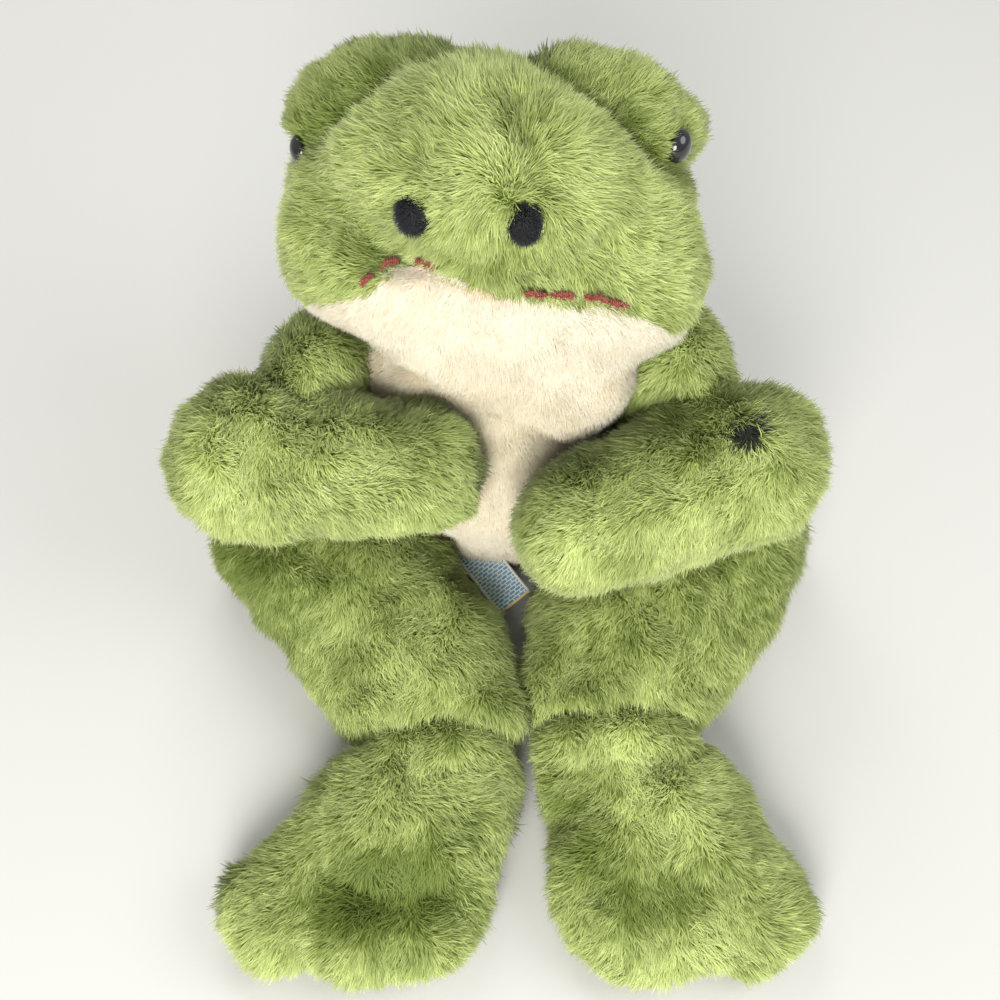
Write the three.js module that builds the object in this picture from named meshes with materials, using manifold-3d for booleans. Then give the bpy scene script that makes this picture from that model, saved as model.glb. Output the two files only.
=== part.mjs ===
// Seated plush frog: green pile covers over separate wads of fibre stuffing, cream chin and belly,
// plastic eyes with lock washers, sewn nostrils and mouth threads. Millimetres, +Z up, the frog faces -Y.
// left and right are the frog's own: left is +X.
import * as THREE from 'three';
import { mergeVertices } from 'three/addons/utils/BufferGeometryUtils.js';
import Module from 'manifold-3d';

const wasm = await Module();
wasm.setup();

// ---- driving dimensions ------------------------------------------------------------------------
const SHIFT = [-4.784, 10.437, 0];    // moves the seated frog so that its box is centred on the origin
const CLOTH = 3;                  // plush backing with its pressed pile
const GAP = 0.35;                 // between sewn neighbours
const ROUND = 12;                 // sides of a limb

const NECK = [3, 76, 108];        // centre of the soft neck
const NECK_R = 25;
const NOD = [-8, 12];             // degrees, forward is positive
const TURN = 20;

const HEAD = [1, 90, 158];        // centre of the head
const HEAD_YAW = -5, HEAD_ROLL = 3;

const SHOULDER = { left: [71, 61, 93], right: [-66, 59, 90] };
const SHOULDER_R = { left: 22, right: 21 };
const OPEN = 60;                  // degrees that an arm swings away from the belly

const HIP = { left: [50, 36, 27], right: [-44, 35, 26] };
const HIP_R = { left: 25, right: 24 };
const DANGLE = 50;                // degrees that a leg hangs below the seat

const ANKLE = { left: [53, -75, 17], right: [-20, -80, 16] };
const ANKLE_HALF = { left: [29, 15, 15], right: [26, 14, 14] };
const FOOT_UP = 40, FOOT_DOWN = 20;   // degrees at the ankle fold

const EYE_R = 6.5, EYE_H = 5, STEM_R = 1.6, STEM_L = 9.5, WASHER_R = 6;
const SEAM_Z = 11.5;              // height of the seam round each foot

const GREEN = 0x8fa757, GREEN_DARK = 0x7d9448, CREAM = 0xf3ead2, FIBRE = 0xf2f2ee, BLACK = 0x141414;

// ---- helpers ------------------------------------------------------------------------------------
const rad = (d) => (d * Math.PI) / 180;
const V = (p) => new THREE.Vector3(...p);

function solid(geometry) {
  const g = geometry.clone();
  g.deleteAttribute('normal');
  g.deleteAttribute('uv');
  const m = mergeVertices(g, 1e-4);
  const build = (flip) => {
    const tri = new Uint32Array(m.index.array);
    if (flip) for (let i = 0; i < tri.length; i += 3) [tri[i], tri[i + 1]] = [tri[i + 1], tri[i]];
    return new wasm.Manifold(new wasm.Mesh({ numProp: 3, vertProperties: new Float32Array(m.attributes.position.array), triVerts: tri }));
  };
  const s = build(false);
  return s.volume() < 0 ? build(true) : s;
}

function geometryOf(s) {
  const m = s.getMesh();
  const g = new THREE.BufferGeometry();
  g.setAttribute('position', new THREE.BufferAttribute(new Float32Array(m.vertProperties), 3));
  g.setIndex(new THREE.BufferAttribute(new Uint32Array(m.triVerts), 1));
  return g;
}

const unite = (...list) => list.reduce((a, b) => a.add(b));
const cut = (a, ...list) => list.reduce((x, y) => x.subtract(y), a);

// a ball swept from a to b while its radius goes from ra to rb; kx and kz widen or flatten it
function limb(a, b, ra, rb, { kx = 1, kz = 1, grow = 0, sides = ROUND, arc = 2 } = {}) {
  const A = new THREE.Vector3(a[0] / kx, a[1], a[2] / kz), B = new THREE.Vector3(b[0] / kx, b[1], b[2] / kz);
  const r1 = ra + grow, r2 = rb + grow, L = A.distanceTo(B);
  const th = Math.asin((r1 - r2) / L), pts = [];
  for (let i = 0; i <= arc; i++) {
    const f = -Math.PI / 2 + ((th + Math.PI / 2) * i) / arc;
    pts.push(new THREE.Vector2(i === 0 ? 0 : r1 * Math.cos(f), r1 * Math.sin(f)));
  }
  for (let i = 0; i <= arc; i++) {
    const f = th + ((Math.PI / 2 - th) * i) / arc;
    pts.push(new THREE.Vector2(i === arc ? 0 : r2 * Math.cos(f), L + r2 * Math.sin(f)));
  }
  const g = new THREE.LatheGeometry(pts, sides);
  g.applyQuaternion(new THREE.Quaternion().setFromUnitVectors(new THREE.Vector3(0, 1, 0), B.clone().sub(A).normalize()));
  g.translate(A.x, A.y, A.z);
  g.scale(kx, 1, kz);
  return solid(g);
}

// an ellipsoid with half axes s, turned by the matrix m
function egg(c, s, m, { grow = 0, around = 12, up = 6 } = {}) {
  const g = new THREE.SphereGeometry(1, around, up);
  g.scale(s[0] + grow, s[1] + grow, s[2] + grow);
  if (m) g.applyMatrix4(m);
  g.translate(...c);
  return solid(g);
}

// a ball big enough that even its flat facets stay outside radius r
const dish = (c, r, gap = 0.6) => egg(c, [r + gap, r + gap, r + gap].map((x) => x / Math.cos(Math.PI / 12) ** 2), null);

function box(lo, hi) {
  const g = new THREE.BoxGeometry(hi[0] - lo[0], hi[1] - lo[1], hi[2] - lo[2]);
  g.translate((lo[0] + hi[0]) / 2, (lo[1] + hi[1]) / 2, (lo[2] + hi[2]) / 2);
  return solid(g);
}

// everything above height z
const above = (s, z) => s.subtract(box([-400, -400, -200], [400, 400, z]));
const below = (s, z) => s.subtract(box([-400, -400, z], [400, 400, 400]));

// the solid turned about an axis through point c
function turned(s, c, axis, deg) {
  if (!deg) return s;
  const m = new THREE.Matrix4().makeTranslation(...c)
    .multiply(new THREE.Matrix4().makeRotationAxis(V(axis), rad(deg)))
    .multiply(new THREE.Matrix4().makeTranslation(-c[0], -c[1], -c[2]));
  const g = geometryOf(s);
  g.applyMatrix4(m);
  return solid(g);
}

// a prism along +Y between y0 and y1 over an outline in X and Z, grown outward by e
function prism(outline, y0, y1, e = 0) {
  const n = outline.length, cx = outline.reduce((t, p) => t + p[0], 0) / n, cz = outline.reduce((t, p) => t + p[1], 0) / n;
  const shape = new THREE.Shape(outline.map(([x, z]) => {
    const d = Math.hypot(x - cx, z - cz);
    return new THREE.Vector2(x + ((x - cx) / d) * e, z + ((z - cz) / d) * e);
  }));
  const g = new THREE.ExtrudeGeometry(shape, { depth: y1 - y0, bevelEnabled: false });
  g.rotateX(Math.PI / 2);           // the outline's second coordinate becomes Z, the depth runs towards -Y
  g.translate(0, y1, 0);
  return solid(g);
}

// a thread of radius r along points
function thread(points, r, sides = 6, steps = 24) {
  const curve = new THREE.CatmullRomCurve3(points.map(V));
  const ring = new THREE.Shape();
  for (let i = 0; i < sides; i++) {
    const a = (2 * Math.PI * i) / sides;
    if (i) ring.lineTo(r * Math.cos(a), r * Math.sin(a)); else ring.moveTo(r, 0);
  }
  return new THREE.ExtrudeGeometry(ring, { steps, extrudePath: curve, bevelEnabled: false });
}

// ---- the head's turn as a matrix ----------------------------------------------------------------
const headTurn = new THREE.Matrix4().makeRotationZ(rad(HEAD_YAW)).multiply(new THREE.Matrix4().makeRotationY(rad(HEAD_ROLL)));
const onHead = (x, y, z) => { const p = new THREE.Vector3(x, y, z).applyMatrix4(headTurn); return [p.x + HEAD[0], p.y + HEAD[1], p.z + HEAD[2]]; };
const tilt = (x, y = 0) => headTurn.clone().multiply(new THREE.Matrix4().makeRotationY(rad(y))).multiply(new THREE.Matrix4().makeRotationX(rad(x)));

// ---- whole shapes, each as a function of how far its skin is moved out --------------------------
const trunk = (grow, sides, arc) => above(limb([3, 54, 38], [3, 68, 76], 44, 38, { kx: 1.32, grow, sides, arc }), -grow);
const CHEST = [[4, 67, 90], [61, 38, 25]];
const torso = (grow = 0) => unite(trunk(grow, grow < 0 ? 14 : 18, 3), egg(CHEST[0], CHEST[1], null, { grow, around: 14, up: 6 }));
// plain stand-ins for the body, used to cut room for motion
const trunkRoom = (grow) => trunk(grow, 12, 2);
const torsoRoom = (grow) => unite(trunkRoom(grow), egg(CHEST[0], CHEST[1].map((x) => (x + grow * 0.3) * 1.02), null, { around: 14, up: 6 }));

const skull = (grow = 0) => unite(
  egg(onHead(0, 4, 0), [73, 48, 38], tilt(-34), { grow, around: 16, up: 8 }),
  egg(onHead(0, -9, 18), [54, 42, 33], tilt(-42), { grow, around: 16, up: 8 }),
  egg(onHead(-6, -4, 20.5), [34, 36, 32.5], tilt(-42), { grow, around: 14, up: 7 }),
  egg(onHead(-49, -19, -16), [25, 25, 27], tilt(-20), { grow }),
  egg(onHead(55, -19, -14), [26, 25, 29], tilt(-20), { grow }),
  egg(onHead(2, -26, -16), [60, 30, 26], tilt(-10), { grow }),
  limb([8, 62, 122], [21, 58, 101], 31, 26, { kx: 1.3, grow, sides: 14 }),
);
// the hollow of the head
const skullHollow = (grow) => unite(
  egg(onHead(0, 4, 0), [73, 48, 38], tilt(-34), { grow, around: 12, up: 6 }),
  egg(onHead(0, -9, 18), [54, 42, 33], tilt(-42), { grow, around: 10, up: 6 }),
  egg(onHead(-6, -4, 20.5), [34, 36, 32.5], tilt(-42), { grow, around: 10, up: 6 }),
  egg(onHead(-49, -19, -16), [25, 25, 27], tilt(-20), { grow, around: 10, up: 6 }),
  egg(onHead(55, -19, -14), [26, 25, 29], tilt(-20), { grow, around: 10, up: 6 }),
  egg(onHead(2, -26, -16), [60, 30, 26], tilt(-10), { grow, around: 10, up: 6 }),
  limb([8, 62, 122], [21, 58, 101], 31, 26, { kx: 1.3, grow, sides: 10 }),
);

const MOUND = { left: { c: onHead(39.5, 13, 27), s: [34.5, 22, 20], m: tilt(-25, 16) }, right: { c: onHead(-36, 11.3, 23), s: [41, 24, 21.5], m: tilt(-25, -16) } };
const mound = (side, grow = 0, around = 14, up = 7) => egg(MOUND[side].c, MOUND[side].s, MOUND[side].m, { grow, around, up });

const UPPER = { left: [86, 42, 84], right: [-81, 40, 82] };
const ELBOW = { left: [100, 18, 79], right: [-97, 20, 79] };
const PAW = { left: [38, -9, 76], right: [-27, 10, 86] };
const arm = (side, grow = 0) => unite(
  limb(SHOULDER[side], UPPER[side], SHOULDER_R[side], side === 'left' ? 17 : 16, { grow }),
  limb(ELBOW[side], PAW[side], side === 'left' ? 30 : 28, side === 'left' ? 23 : 22, { grow }),
);

const thigh = (side, grow = 0) => above(side === 'left'
  ? unite(limb([91, 19, 24], [52, -53, 16], 45, 32, { kz: 0.56, grow }), limb([64, -24, 17], [50, -55, 16], 38, 33, { kz: 0.56, grow }))
  : unite(limb([-71, 17, 23], [-21, -62, 15], 43, 28, { kz: 0.56, grow }), limb([-30, -36, 16], [-17, -62, 15], 33, 30, { kz: 0.56, grow })), -grow);

const TOE = {
  left: [[[54, -86, 14], [65, -114, 12], 30, 35], [[66, -112, 12], [100, -138, 11], 30, 17], [[62, -114, 12], [56, -140, 11], 30, 19], [[56, -141, 11], [99, -140, 11], 18, 17.2]],
  right: [[[-21, -86, 13], [-34, -116, 12], 28, 34], [[-34, -112, 12], [-77, -137, 11], 27, 16.2], [[-34, -116, 12], [-28, -143, 11], 30, 17], [[-76, -141, 11], [-28, -144, 11], 15.6, 16]],
};
const paddle = (side) => above(unite(...TOE[side].map((t) => limb(...t, { kz: 0.5 }))), 0);
const PAD = { left: [[53, -88, 13], [72, -118, 12], 25, 25], right: [[-20, -90, 12.5], [-45, -118, 12], 22, 23] };
const paddleHollow = (side, grow) => above(limb(...PAD[side], { kz: 0.5, grow, sides: 10 }), -grow);

const ankleRoll = (side, grow = 0) => egg(ANKLE[side], ANKLE_HALF[side], null, { grow, around: 12, up: 6 });

// ---- root: the body ------------------------------------------------------------------------------
const SIDES = ['left', 'right'];
const dishes = unite(dish(NECK, NECK_R), ...SIDES.map((s) => dish(SHOULDER[s], SHOULDER_R[s])), ...SIDES.map((s) => dish(HIP[s], HIP_R[s])));
const BELLY = [[-58, 118], [-56, 100], [-50, 80], [-44, 55], [-40, 32], [-26, 14], [-22, 9], [26, 9], [30, 14], [42, 32], [47, 55], [54, 80], [60, 100], [62, 118]];   // outline from the front

const torsoOut = torso(0);
const torsoShell = cut(torsoOut, torso(-CLOTH), dishes);
const bellyPanel = torsoShell.intersect(prism(BELLY, -60, 62, -GAP / 2));
const bodyCover = torsoShell.subtract(prism(BELLY, -60, 62, GAP / 2));
const bodyStuffing = cut(torso(-CLOTH - GAP), unite(dish(NECK, NECK_R, 3.5), ...SIDES.map((s) => dish(SHOULDER[s], SHOULDER_R[s], 3.5)), ...SIDES.map((s) => dish(HIP[s], HIP_R[s], 3.5))));

// ---- neck ----------------------------------------------------------------------------------------
const tie = new THREE.LatheGeometry(Array.from({ length: 6 }, (_, i) => new THREE.Vector2(NECK_R - 0.2 + 0.8 * Math.cos((2 * Math.PI * i) / 5), 0.8 * Math.sin((2 * Math.PI * i) / 5))), 24);
tie.rotateX(Math.PI / 2);
tie.translate(...NECK);
const groove = new THREE.LatheGeometry(Array.from({ length: 5 }, (_, i) => new THREE.Vector2(NECK_R + 0.2 + 2.4 * Math.cos((2 * Math.PI * i) / 4), 2.4 * Math.sin((2 * Math.PI * i) / 4))), 24);
groove.rotateX(Math.PI / 2);
groove.translate(...NECK);
const neckBall = egg(NECK, [NECK_R, NECK_R, NECK_R], new THREE.Matrix4().makeRotationX(Math.PI / 2), { around: 24, up: 6 }).subtract(solid(groove));

// ---- head ----------------------------------------------------------------------------------------
// room for the nod and the turn: the shoulders of the body, as the head meets them at each pose
const nodRoom = (grow) => {
  const t = torsoRoom(grow), out = [t];
  const arms = unite(...SIDES.map((s) => limb(SHOULDER[s], UPPER[s], SHOULDER_R[s], 17, { grow: grow * 0.5, sides: 10 })), dish(SHOULDER.left, SHOULDER_R.left, 0.4));
  for (const n of NOD) for (const y of [-TURN, TURN]) {
    out.push(turned(turned(n > 0 ? unite(t, arms) : t, NECK, [0, 0, 1], -y), NECK, [1, 0, 0], -n));
  }
  out.push(turned(unite(t, arms), NECK, [1, 0, 0], -NOD[1]));
  return unite(...out);
};
const neckDish = dish(NECK, NECK_R);
const roomOut = nodRoom(3.4);
const MOUTH = [[-70, 131], [-62, 137], [-52, 147], [-44, 152], [-36, 158.5], [-30, 160.5], [-24, 162], [-18, 162.6], [-8, 161], [1, 159], [14, 157.5], [21, 156.7], [30, 154.7], [42, 151.5], [53, 148.5], [61, 142], [67, 136], [74, 130], [71, 116], [66, 98], [56, 80], [-46, 80], [-57, 98], [-65, 116]];

const skullOut = skull(0);

// eye: a glossy dome on a ribbed stem that a washer locks from inside
const EYE_DIR = { left: [0.87, -0.48, 0.06], right: [-0.95, -0.26, -0.24] };
function eyeSeat(side) {
  const { c, s, m } = MOUND[side], d = V(EYE_DIR[side]).normalize();
  const inv = m.clone().invert(), q = d.clone().applyMatrix4(inv);
  const t = 1 / Math.hypot(q.x / s[0], q.y / s[1], q.z / s[2]);
  return { at: V(c).add(d.clone().multiplyScalar(t)), d };
}
function onAxis(points, side, sides = 14) {
  const { at, d } = eyeSeat(side);
  const g = new THREE.LatheGeometry(points.map(([x, y]) => new THREE.Vector2(x, y)), sides);
  g.applyQuaternion(new THREE.Quaternion().setFromUnitVectors(new THREE.Vector3(0, 1, 0), d));
  g.translate(at.x, at.y, at.z);
  return g;
}
const eye = (side) => onAxis([[0, -STEM_L], [STEM_R, -STEM_L], [STEM_R, 0.4], [EYE_R - 0.4, 0.4], [EYE_R, 1], [EYE_R * 0.88, 1 + EYE_H * 0.48], [EYE_R * 0.6, 1 + EYE_H * 0.8], [EYE_R * 0.3, 1 + EYE_H * 0.96], [0, 1 + EYE_H]], side);
const washer = (side) => onAxis([[STEM_R + 0.3, -8], [WASHER_R, -8], [WASHER_R, -6.6], [STEM_R + 0.3, -6.6], [STEM_R + 0.3, -8]], side);
const eyePocket = (side) => solid(onAxis([[0, -STEM_L - 0.5], [WASHER_R + 0.5, -STEM_L - 0.5], [WASHER_R + 0.5, 12], [0, 12]], side));
const eyeHole = (side) => solid(onAxis([[0, -STEM_L - 0.5], [STEM_R + 0.4, -STEM_L - 0.5], [STEM_R + 0.4, 12], [0, 12]], side, 12));
const eyeFlat = (side) => solid(onAxis([[0, 0.1], [EYE_R + 1.2, 0.1], [EYE_R + 1.2, 14], [0, 14]], side));

// the pit beside each mound that the eye sits in
const eyePit = (side) => solid(onAxis([[0, -STEM_L - 0.8], [EYE_R + 1, -STEM_L - 0.8], [EYE_R + 1, 14], [0, 14]], side, 10));
const eyePits = unite(eyePit('left'), eyePit('right'));

const skullShell = cut(skullOut, skullHollow(-CLOTH), neckDish, roomOut, eyePits);
const headCover = skullShell.subtract(prism(MOUTH, -60, 88, GAP / 2));
const chinPanel = skullShell.intersect(prism(MOUTH, -60, 88, -GAP / 2));
const headStuffing = cut(skullHollow(-CLOTH - GAP), dish(NECK, NECK_R, 3.5), nodRoom(6.2), eyePits);
const skullClear = skull(GAP);
const washerRoom = (side) => solid(onAxis([[0, -9], [WASHER_R + 0.7, -9], [WASHER_R + 0.7, -6.2], [0, -6.2]], side, 12));
const moundCover = (side) => cut(mound(side), mound(side, -CLOTH, 12, 6), skullClear, eyeHole(side), eyeFlat(side), washerRoom(side));
const moundStuffing = (side) => cut(mound(side, -CLOTH - GAP, 12, 6), skull(GAP + 0.3), eyePocket(side));

// nostrils: thick ovals of black pile that stand on the muzzle
const NOSTRIL = { left: { c: [13.2, 41.6, 189.4], s: [5.6, 3.2, 7], z: 7 }, right: { c: [-22.9, 46.3, 190.3], s: [5, 3.2, 7], z: -22 } };
const nostril = (side) => cut(egg(NOSTRIL[side].c, NOSTRIL[side].s, new THREE.Matrix4().makeRotationZ(rad(NOSTRIL[side].z)), { around: 12, up: 6 }), skullClear);

// mouth threads, one run each side of the middle, lying on the seam between muzzle and chin
const MOUTH_RUN = {
  left: [[14, 39.8, 158.2], [21, 41.1, 157.8], [30.5, 42.5, 155.9], [41.8, 44.1, 152.2]],
  right: [[-18.4, 47.2, 163.2], [-23.9, 48.1, 162.4], [-29.8, 48.9, 160.8], [-35.8, 49.3, 158.8], [-40.9, 49.1, 155]],
};

// ---- limbs ---------------------------------------------------------------------------------------
function armParts(side) {
  const c = SHOULDER[side], x = side === 'left' ? -1 : 1;
  const hole = limb(c, [c[0] + x * 40, c[1] + 4, c[2] - 6], 11, 11, { sides: 8 });
  return { cover: cut(arm(side, 0), arm(side, -CLOTH), hole), stuffing: arm(side, -CLOTH - GAP) };
}

const legSweep = (side, grow) => unite(...[0, 0.5, 1].map((a) => turned(trunkRoom(grow), HIP[side], [1, 0, 0], -a * DANGLE)));
function legParts(side) {
  const c = HIP[side], r = HIP_R[side], x = side === 'left' ? -1 : 1;
  const ball = (g) => above(egg(c, [r, r, r], null, { grow: g }), -g);
  const past = (g) => box([-200, -200, -50], [200, ANKLE[side][1] + 7 - g, 100]);
  const whole = (g) => cut(unite(cut(thigh(side, g), legSweep(side, 2 - g)), ball(g)), ankleRoll(side, 1.3 - g), past(g));
  const hole = limb(c, [c[0] + x * 40, c[1] + 8, c[2] + 6], 10, 10, { sides: 8 });
  return { cover: cut(whole(0), whole(-CLOTH), hole), stuffing: whole(-CLOTH - GAP) };
}

function footParts(side) {
  const c = ANKLE[side], w = side === 'left' ? 1.9 : 1.7, toe = [c[0] + (side === 'left' ? 5 : -4), c[1] - 20, c[2] - 3];
  const inner = side === 'left' ? box([-200, -300, -50], [15.2, 100, 200]) : box([13.6, -300, -50], [200, 100, 200]);
  const whole = cut(unite(
    cut(paddle(side), box([-200, c[1] - 4, -50], [200, 200, 100])),
    ankleRoll(side),
    limb(c, toe, 13, 13, { kx: w }),
  ), inner);
  const hollow = (g) => unite(paddleHollow(side, g), limb(c, toe, 13, 13, { kx: w, grow: g, sides: 10 }));
  const shell = cut(whole, hollow(-CLOTH));
  return { top: above(shell, SEAM_Z + GAP / 2), sole: below(shell, SEAM_Z - GAP / 2), stuffing: hollow(-CLOTH - GAP) };
}

// ---- the label sewn into the front seat seam -----------------------------------------------------
const LABEL = { w: 17, l: 36, t: 0.9 };   // 21 shows, the rest runs back to the seam
function label() {
  const g = new THREE.BoxGeometry(LABEL.w, LABEL.l, LABEL.t);
  g.rotateZ(rad(38));
  g.rotateX(rad(17));
  g.translate(1, 3.4, 16.3);
  return solid(g).subtract(torso(GAP));
}

// ---- closing seam: a ladder of thread up the lower back ------------------------------------------
const closing = [];
for (let i = 0; i <= 12; i++) {
  const z = 34 + i * 3.6, t = (z - 38) / 38, r = 44 - 6 * Math.min(1, Math.max(0, t));
  const cy = 54 + 14 * t, back = cy + Math.sqrt(Math.max(0, r * r - 0)) + 2.4 + (t < 0 ? -0.4 : 0);
  closing.push([3 + (i % 2 ? 1.6 : -1.6), back, z]);
}

// ---- assembly ------------------------------------------------------------------------------------
const frog = new THREE.Group();
frog.position.set(...SHIFT);
function add(name, shape, color, roughness = 0.95, metalness = 0) {
  const g = shape.isBufferGeometry ? shape : geometryOf(shape);
  const mesh = new THREE.Mesh(g, new THREE.MeshStandardMaterial({ color, roughness, metalness, flatShading: true }));
  mesh.name = name;
  frog.add(mesh);
}

add('body_cover', bodyCover, GREEN);
add('belly_panel', bellyPanel, CREAM);
add('body_stuffing', bodyStuffing, FIBRE);
add('closing_seam_thread', thread(closing, 0.6, 4, 24), GREEN_DARK, 0.8);
add('sewn_label', label(), 0x9fb6c4, 0.8);
add('neck_stuffing', neckBall, FIBRE);
add('neck_tie_thread', tie, GREEN_DARK, 0.8);
add('head_cover', headCover, GREEN);
add('chin_panel', chinPanel, CREAM);
add('head_stuffing', headStuffing, FIBRE);

for (const side of SIDES) {
  add(`${side}_eye_mound_cover`, moundCover(side), GREEN_DARK);
  add(`${side}_eye_mound_stuffing`, moundStuffing(side), FIBRE);
  add(`${side}_eye`, eye(side), BLACK, 0.12);
  add(`${side}_eye_washer`, washer(side), 0xe9e9e4, 0.5);
  add(`${side}_nostril`, nostril(side), BLACK);
  add(`${side}_mouth_thread`, thread(MOUTH_RUN[side], 0.7, 5, 8), 0xb4313a, 0.8);

  const a = armParts(side);
  add(`${side}_arm_cover`, a.cover, GREEN);
  add(`${side}_arm_stuffing`, a.stuffing, FIBRE);

  const l = legParts(side);
  add(`${side}_leg_cover`, l.cover, GREEN);
  add(`${side}_leg_stuffing`, l.stuffing, FIBRE);

  const f = footParts(side);
  add(`${side}_foot_top`, f.top, GREEN);
  add(`${side}_foot_sole`, f.sole, GREEN_DARK);
  add(`${side}_foot_stuffing`, f.stuffing, FIBRE);
}

export default frog;
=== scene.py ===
"""Looks of the seated plush frog: cloth skins, long pile, eyes, nostrils, stitches and label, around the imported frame."""
import math
import bpy
import numpy as np
import openvdb
from mathutils import Matrix, Vector
from mathutils.kdtree import KDTree


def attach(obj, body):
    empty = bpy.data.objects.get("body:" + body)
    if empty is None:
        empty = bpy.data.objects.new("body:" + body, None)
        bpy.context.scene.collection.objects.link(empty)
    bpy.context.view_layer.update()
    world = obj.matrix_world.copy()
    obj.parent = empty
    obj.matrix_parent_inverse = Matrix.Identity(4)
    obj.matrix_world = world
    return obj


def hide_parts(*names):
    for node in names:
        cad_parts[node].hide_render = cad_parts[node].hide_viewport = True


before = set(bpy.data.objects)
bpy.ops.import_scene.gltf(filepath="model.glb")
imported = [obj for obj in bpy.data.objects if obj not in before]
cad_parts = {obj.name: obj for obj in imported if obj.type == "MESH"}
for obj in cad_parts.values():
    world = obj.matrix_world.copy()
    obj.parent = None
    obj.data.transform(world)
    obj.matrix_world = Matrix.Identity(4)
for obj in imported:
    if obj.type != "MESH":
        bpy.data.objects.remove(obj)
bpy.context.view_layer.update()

SHIFT = np.array([-4.784, 10.437, 0.0])     # millimetres: from the seat's own layout to the row frame
f32 = np.float32


def rad(d):
    return math.radians(d)


def to_row(P):
    return (np.asarray(P, float) + SHIFT) * 0.001


# =================================================================================================
# camera, floor, light
# =================================================================================================
scene = bpy.context.scene
cam_data = bpy.data.cameras.new("view")
cam_data.sensor_width = 36.0
cam_data.lens = 43.45
cam = bpy.data.objects.new("view", cam_data)
scene.collection.objects.link(cam)
cam.location = to_row([5.0, -260.3, 480.9])
cam.rotation_euler = (rad(33), 0, 0)
scene.camera = cam

scene.view_settings.view_transform = "Standard"
scene.view_settings.look = "None"


def nodes_of(mat):
    mat.use_nodes = True
    nt = mat.node_tree
    return nt, nt.nodes["Principled BSDF"]


def add(nt, kind, **props):
    n = nt.nodes.new(kind)
    for k, v in props.items():
        setattr(n, k, v)
    return n


def ramp(nt, stops, interpolation="LINEAR"):
    n = nt.nodes.new("ShaderNodeValToRGB")
    cr = n.color_ramp
    cr.interpolation = interpolation
    while len(cr.elements) > 1:
        cr.elements.remove(cr.elements[-1])
    cr.elements[0].position, cr.elements[0].color = stops[0][0], (*stops[0][1], 1)
    for p, c in stops[1:]:
        e = cr.elements.new(p)
        e.color = (*c, 1)
    return n


def lin(r, g, b):
    """linear colour from 0-255 display values"""
    f = lambda c: c / 12.92 if c <= 0.04045 else ((c + 0.055) / 1.055) ** 2.4
    return tuple(f(c / 255) for c in (r, g, b))


def floor():
    me = bpy.data.meshes.new("floor")
    s = 9.0
    me.from_pydata([(-s, -s, 0), (s, -s, 0), (s, s, 0), (-s, s, 0)], [], [(0, 1, 2, 3)])
    ob = bpy.data.objects.new("floor", me)
    scene.collection.objects.link(ob)
    mat = bpy.data.materials.new("floor")
    nt, p = nodes_of(mat)
    tex = add(nt, "ShaderNodeTexNoise")
    tex.inputs["Scale"].default_value = 3.0
    tex.inputs["Detail"].default_value = 4.0
    cr = ramp(nt, [(0.3, lin(205, 204, 200)), (0.7, lin(212, 211, 208))])
    nt.links.new(tex.outputs["Fac"], cr.inputs["Fac"])
    nt.links.new(cr.outputs["Color"], p.inputs["Base Color"])
    p.inputs["Roughness"].default_value = 0.75
    p.inputs["Specular IOR Level"].default_value = 0.25
    me.materials.append(mat)


def lamp(name, at, aim, size, power, colour=(1, 1, 1)):
    d = bpy.data.lights.new(name, "AREA")
    d.shape = "DISK"
    d.size = size
    d.energy = power
    d.color = colour
    o = bpy.data.objects.new(name, d)
    scene.collection.objects.link(o)
    o.location = at
    o.rotation_euler = (Vector(aim) - Vector(at)).to_track_quat("-Z", "Y").to_euler()


floor()
lamp("key", (-0.18, -1.15, 0.66), (0, -0.04, 0.07), 0.75, 22.0, (1.0, 0.99, 0.97))
lamp("fill", (0.9, -0.1, 0.8), (0, 0, 0.08), 0.8, 5.0, (0.97, 0.99, 1.0))
lamp("back", (-0.3, 0.9, 0.9), (0, 0.05, 0.1), 0.8, 6.0)
world = bpy.data.worlds.new("studio")
scene.world = world
world.use_nodes = True
world.node_tree.nodes["Background"].inputs["Color"].default_value = (0.98, 0.99, 0.97, 1)
world.node_tree.nodes["Background"].inputs["Strength"].default_value = 0.50


# =================================================================================================
# signed distance shapes, millimetres, in the seat's own layout (x to the frog's left, the frog faces -y)
# =================================================================================================
def _v(*a):
    return np.array(a, f32)


def limb(P, a, b, r1, r2, kz=1.0, kx=1.0):
    """a ball swept from a to b while its radius goes from r1 to r2, widened by kx and flattened by kz"""
    S = _v(1 / kx, 1, 1 / kz)
    P = P * S
    a, b = _v(*a) * S, _v(*b) * S
    ba = b - a
    l2 = float(ba @ ba)
    rr = r1 - r2
    a2 = max(l2 - rr * rr, 1e-3)
    il2 = 1 / l2
    pa = P - a
    y = pa @ ba
    z = y - l2
    x2 = ((pa * l2 - y[..., None] * ba) ** 2).sum(-1)
    y2 = y * y * l2
    z2 = z * z * l2
    k = np.sign(rr) * rr * rr * x2
    d = (np.sqrt(x2 * a2 * il2) + y * rr) * il2 - r1
    d = np.where(np.sign(y) * a2 * y2 < k, np.sqrt(x2 + y2) * il2 - r1, d)
    d = np.where(np.sign(z) * a2 * z2 > k, np.sqrt(x2 + z2) * il2 - r2, d)
    return d * min(1.0, kz, kx)


def rot(ax, deg):
    c, s = math.cos(rad(deg)), math.sin(rad(deg))
    if ax == "x":
        m = [[1, 0, 0], [0, c, -s], [0, s, c]]
    elif ax == "y":
        m = [[c, 0, s], [0, 1, 0], [-s, 0, c]]
    else:
        m = [[c, -s, 0], [s, c, 0], [0, 0, 1]]
    return np.array(m, f32)


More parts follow.
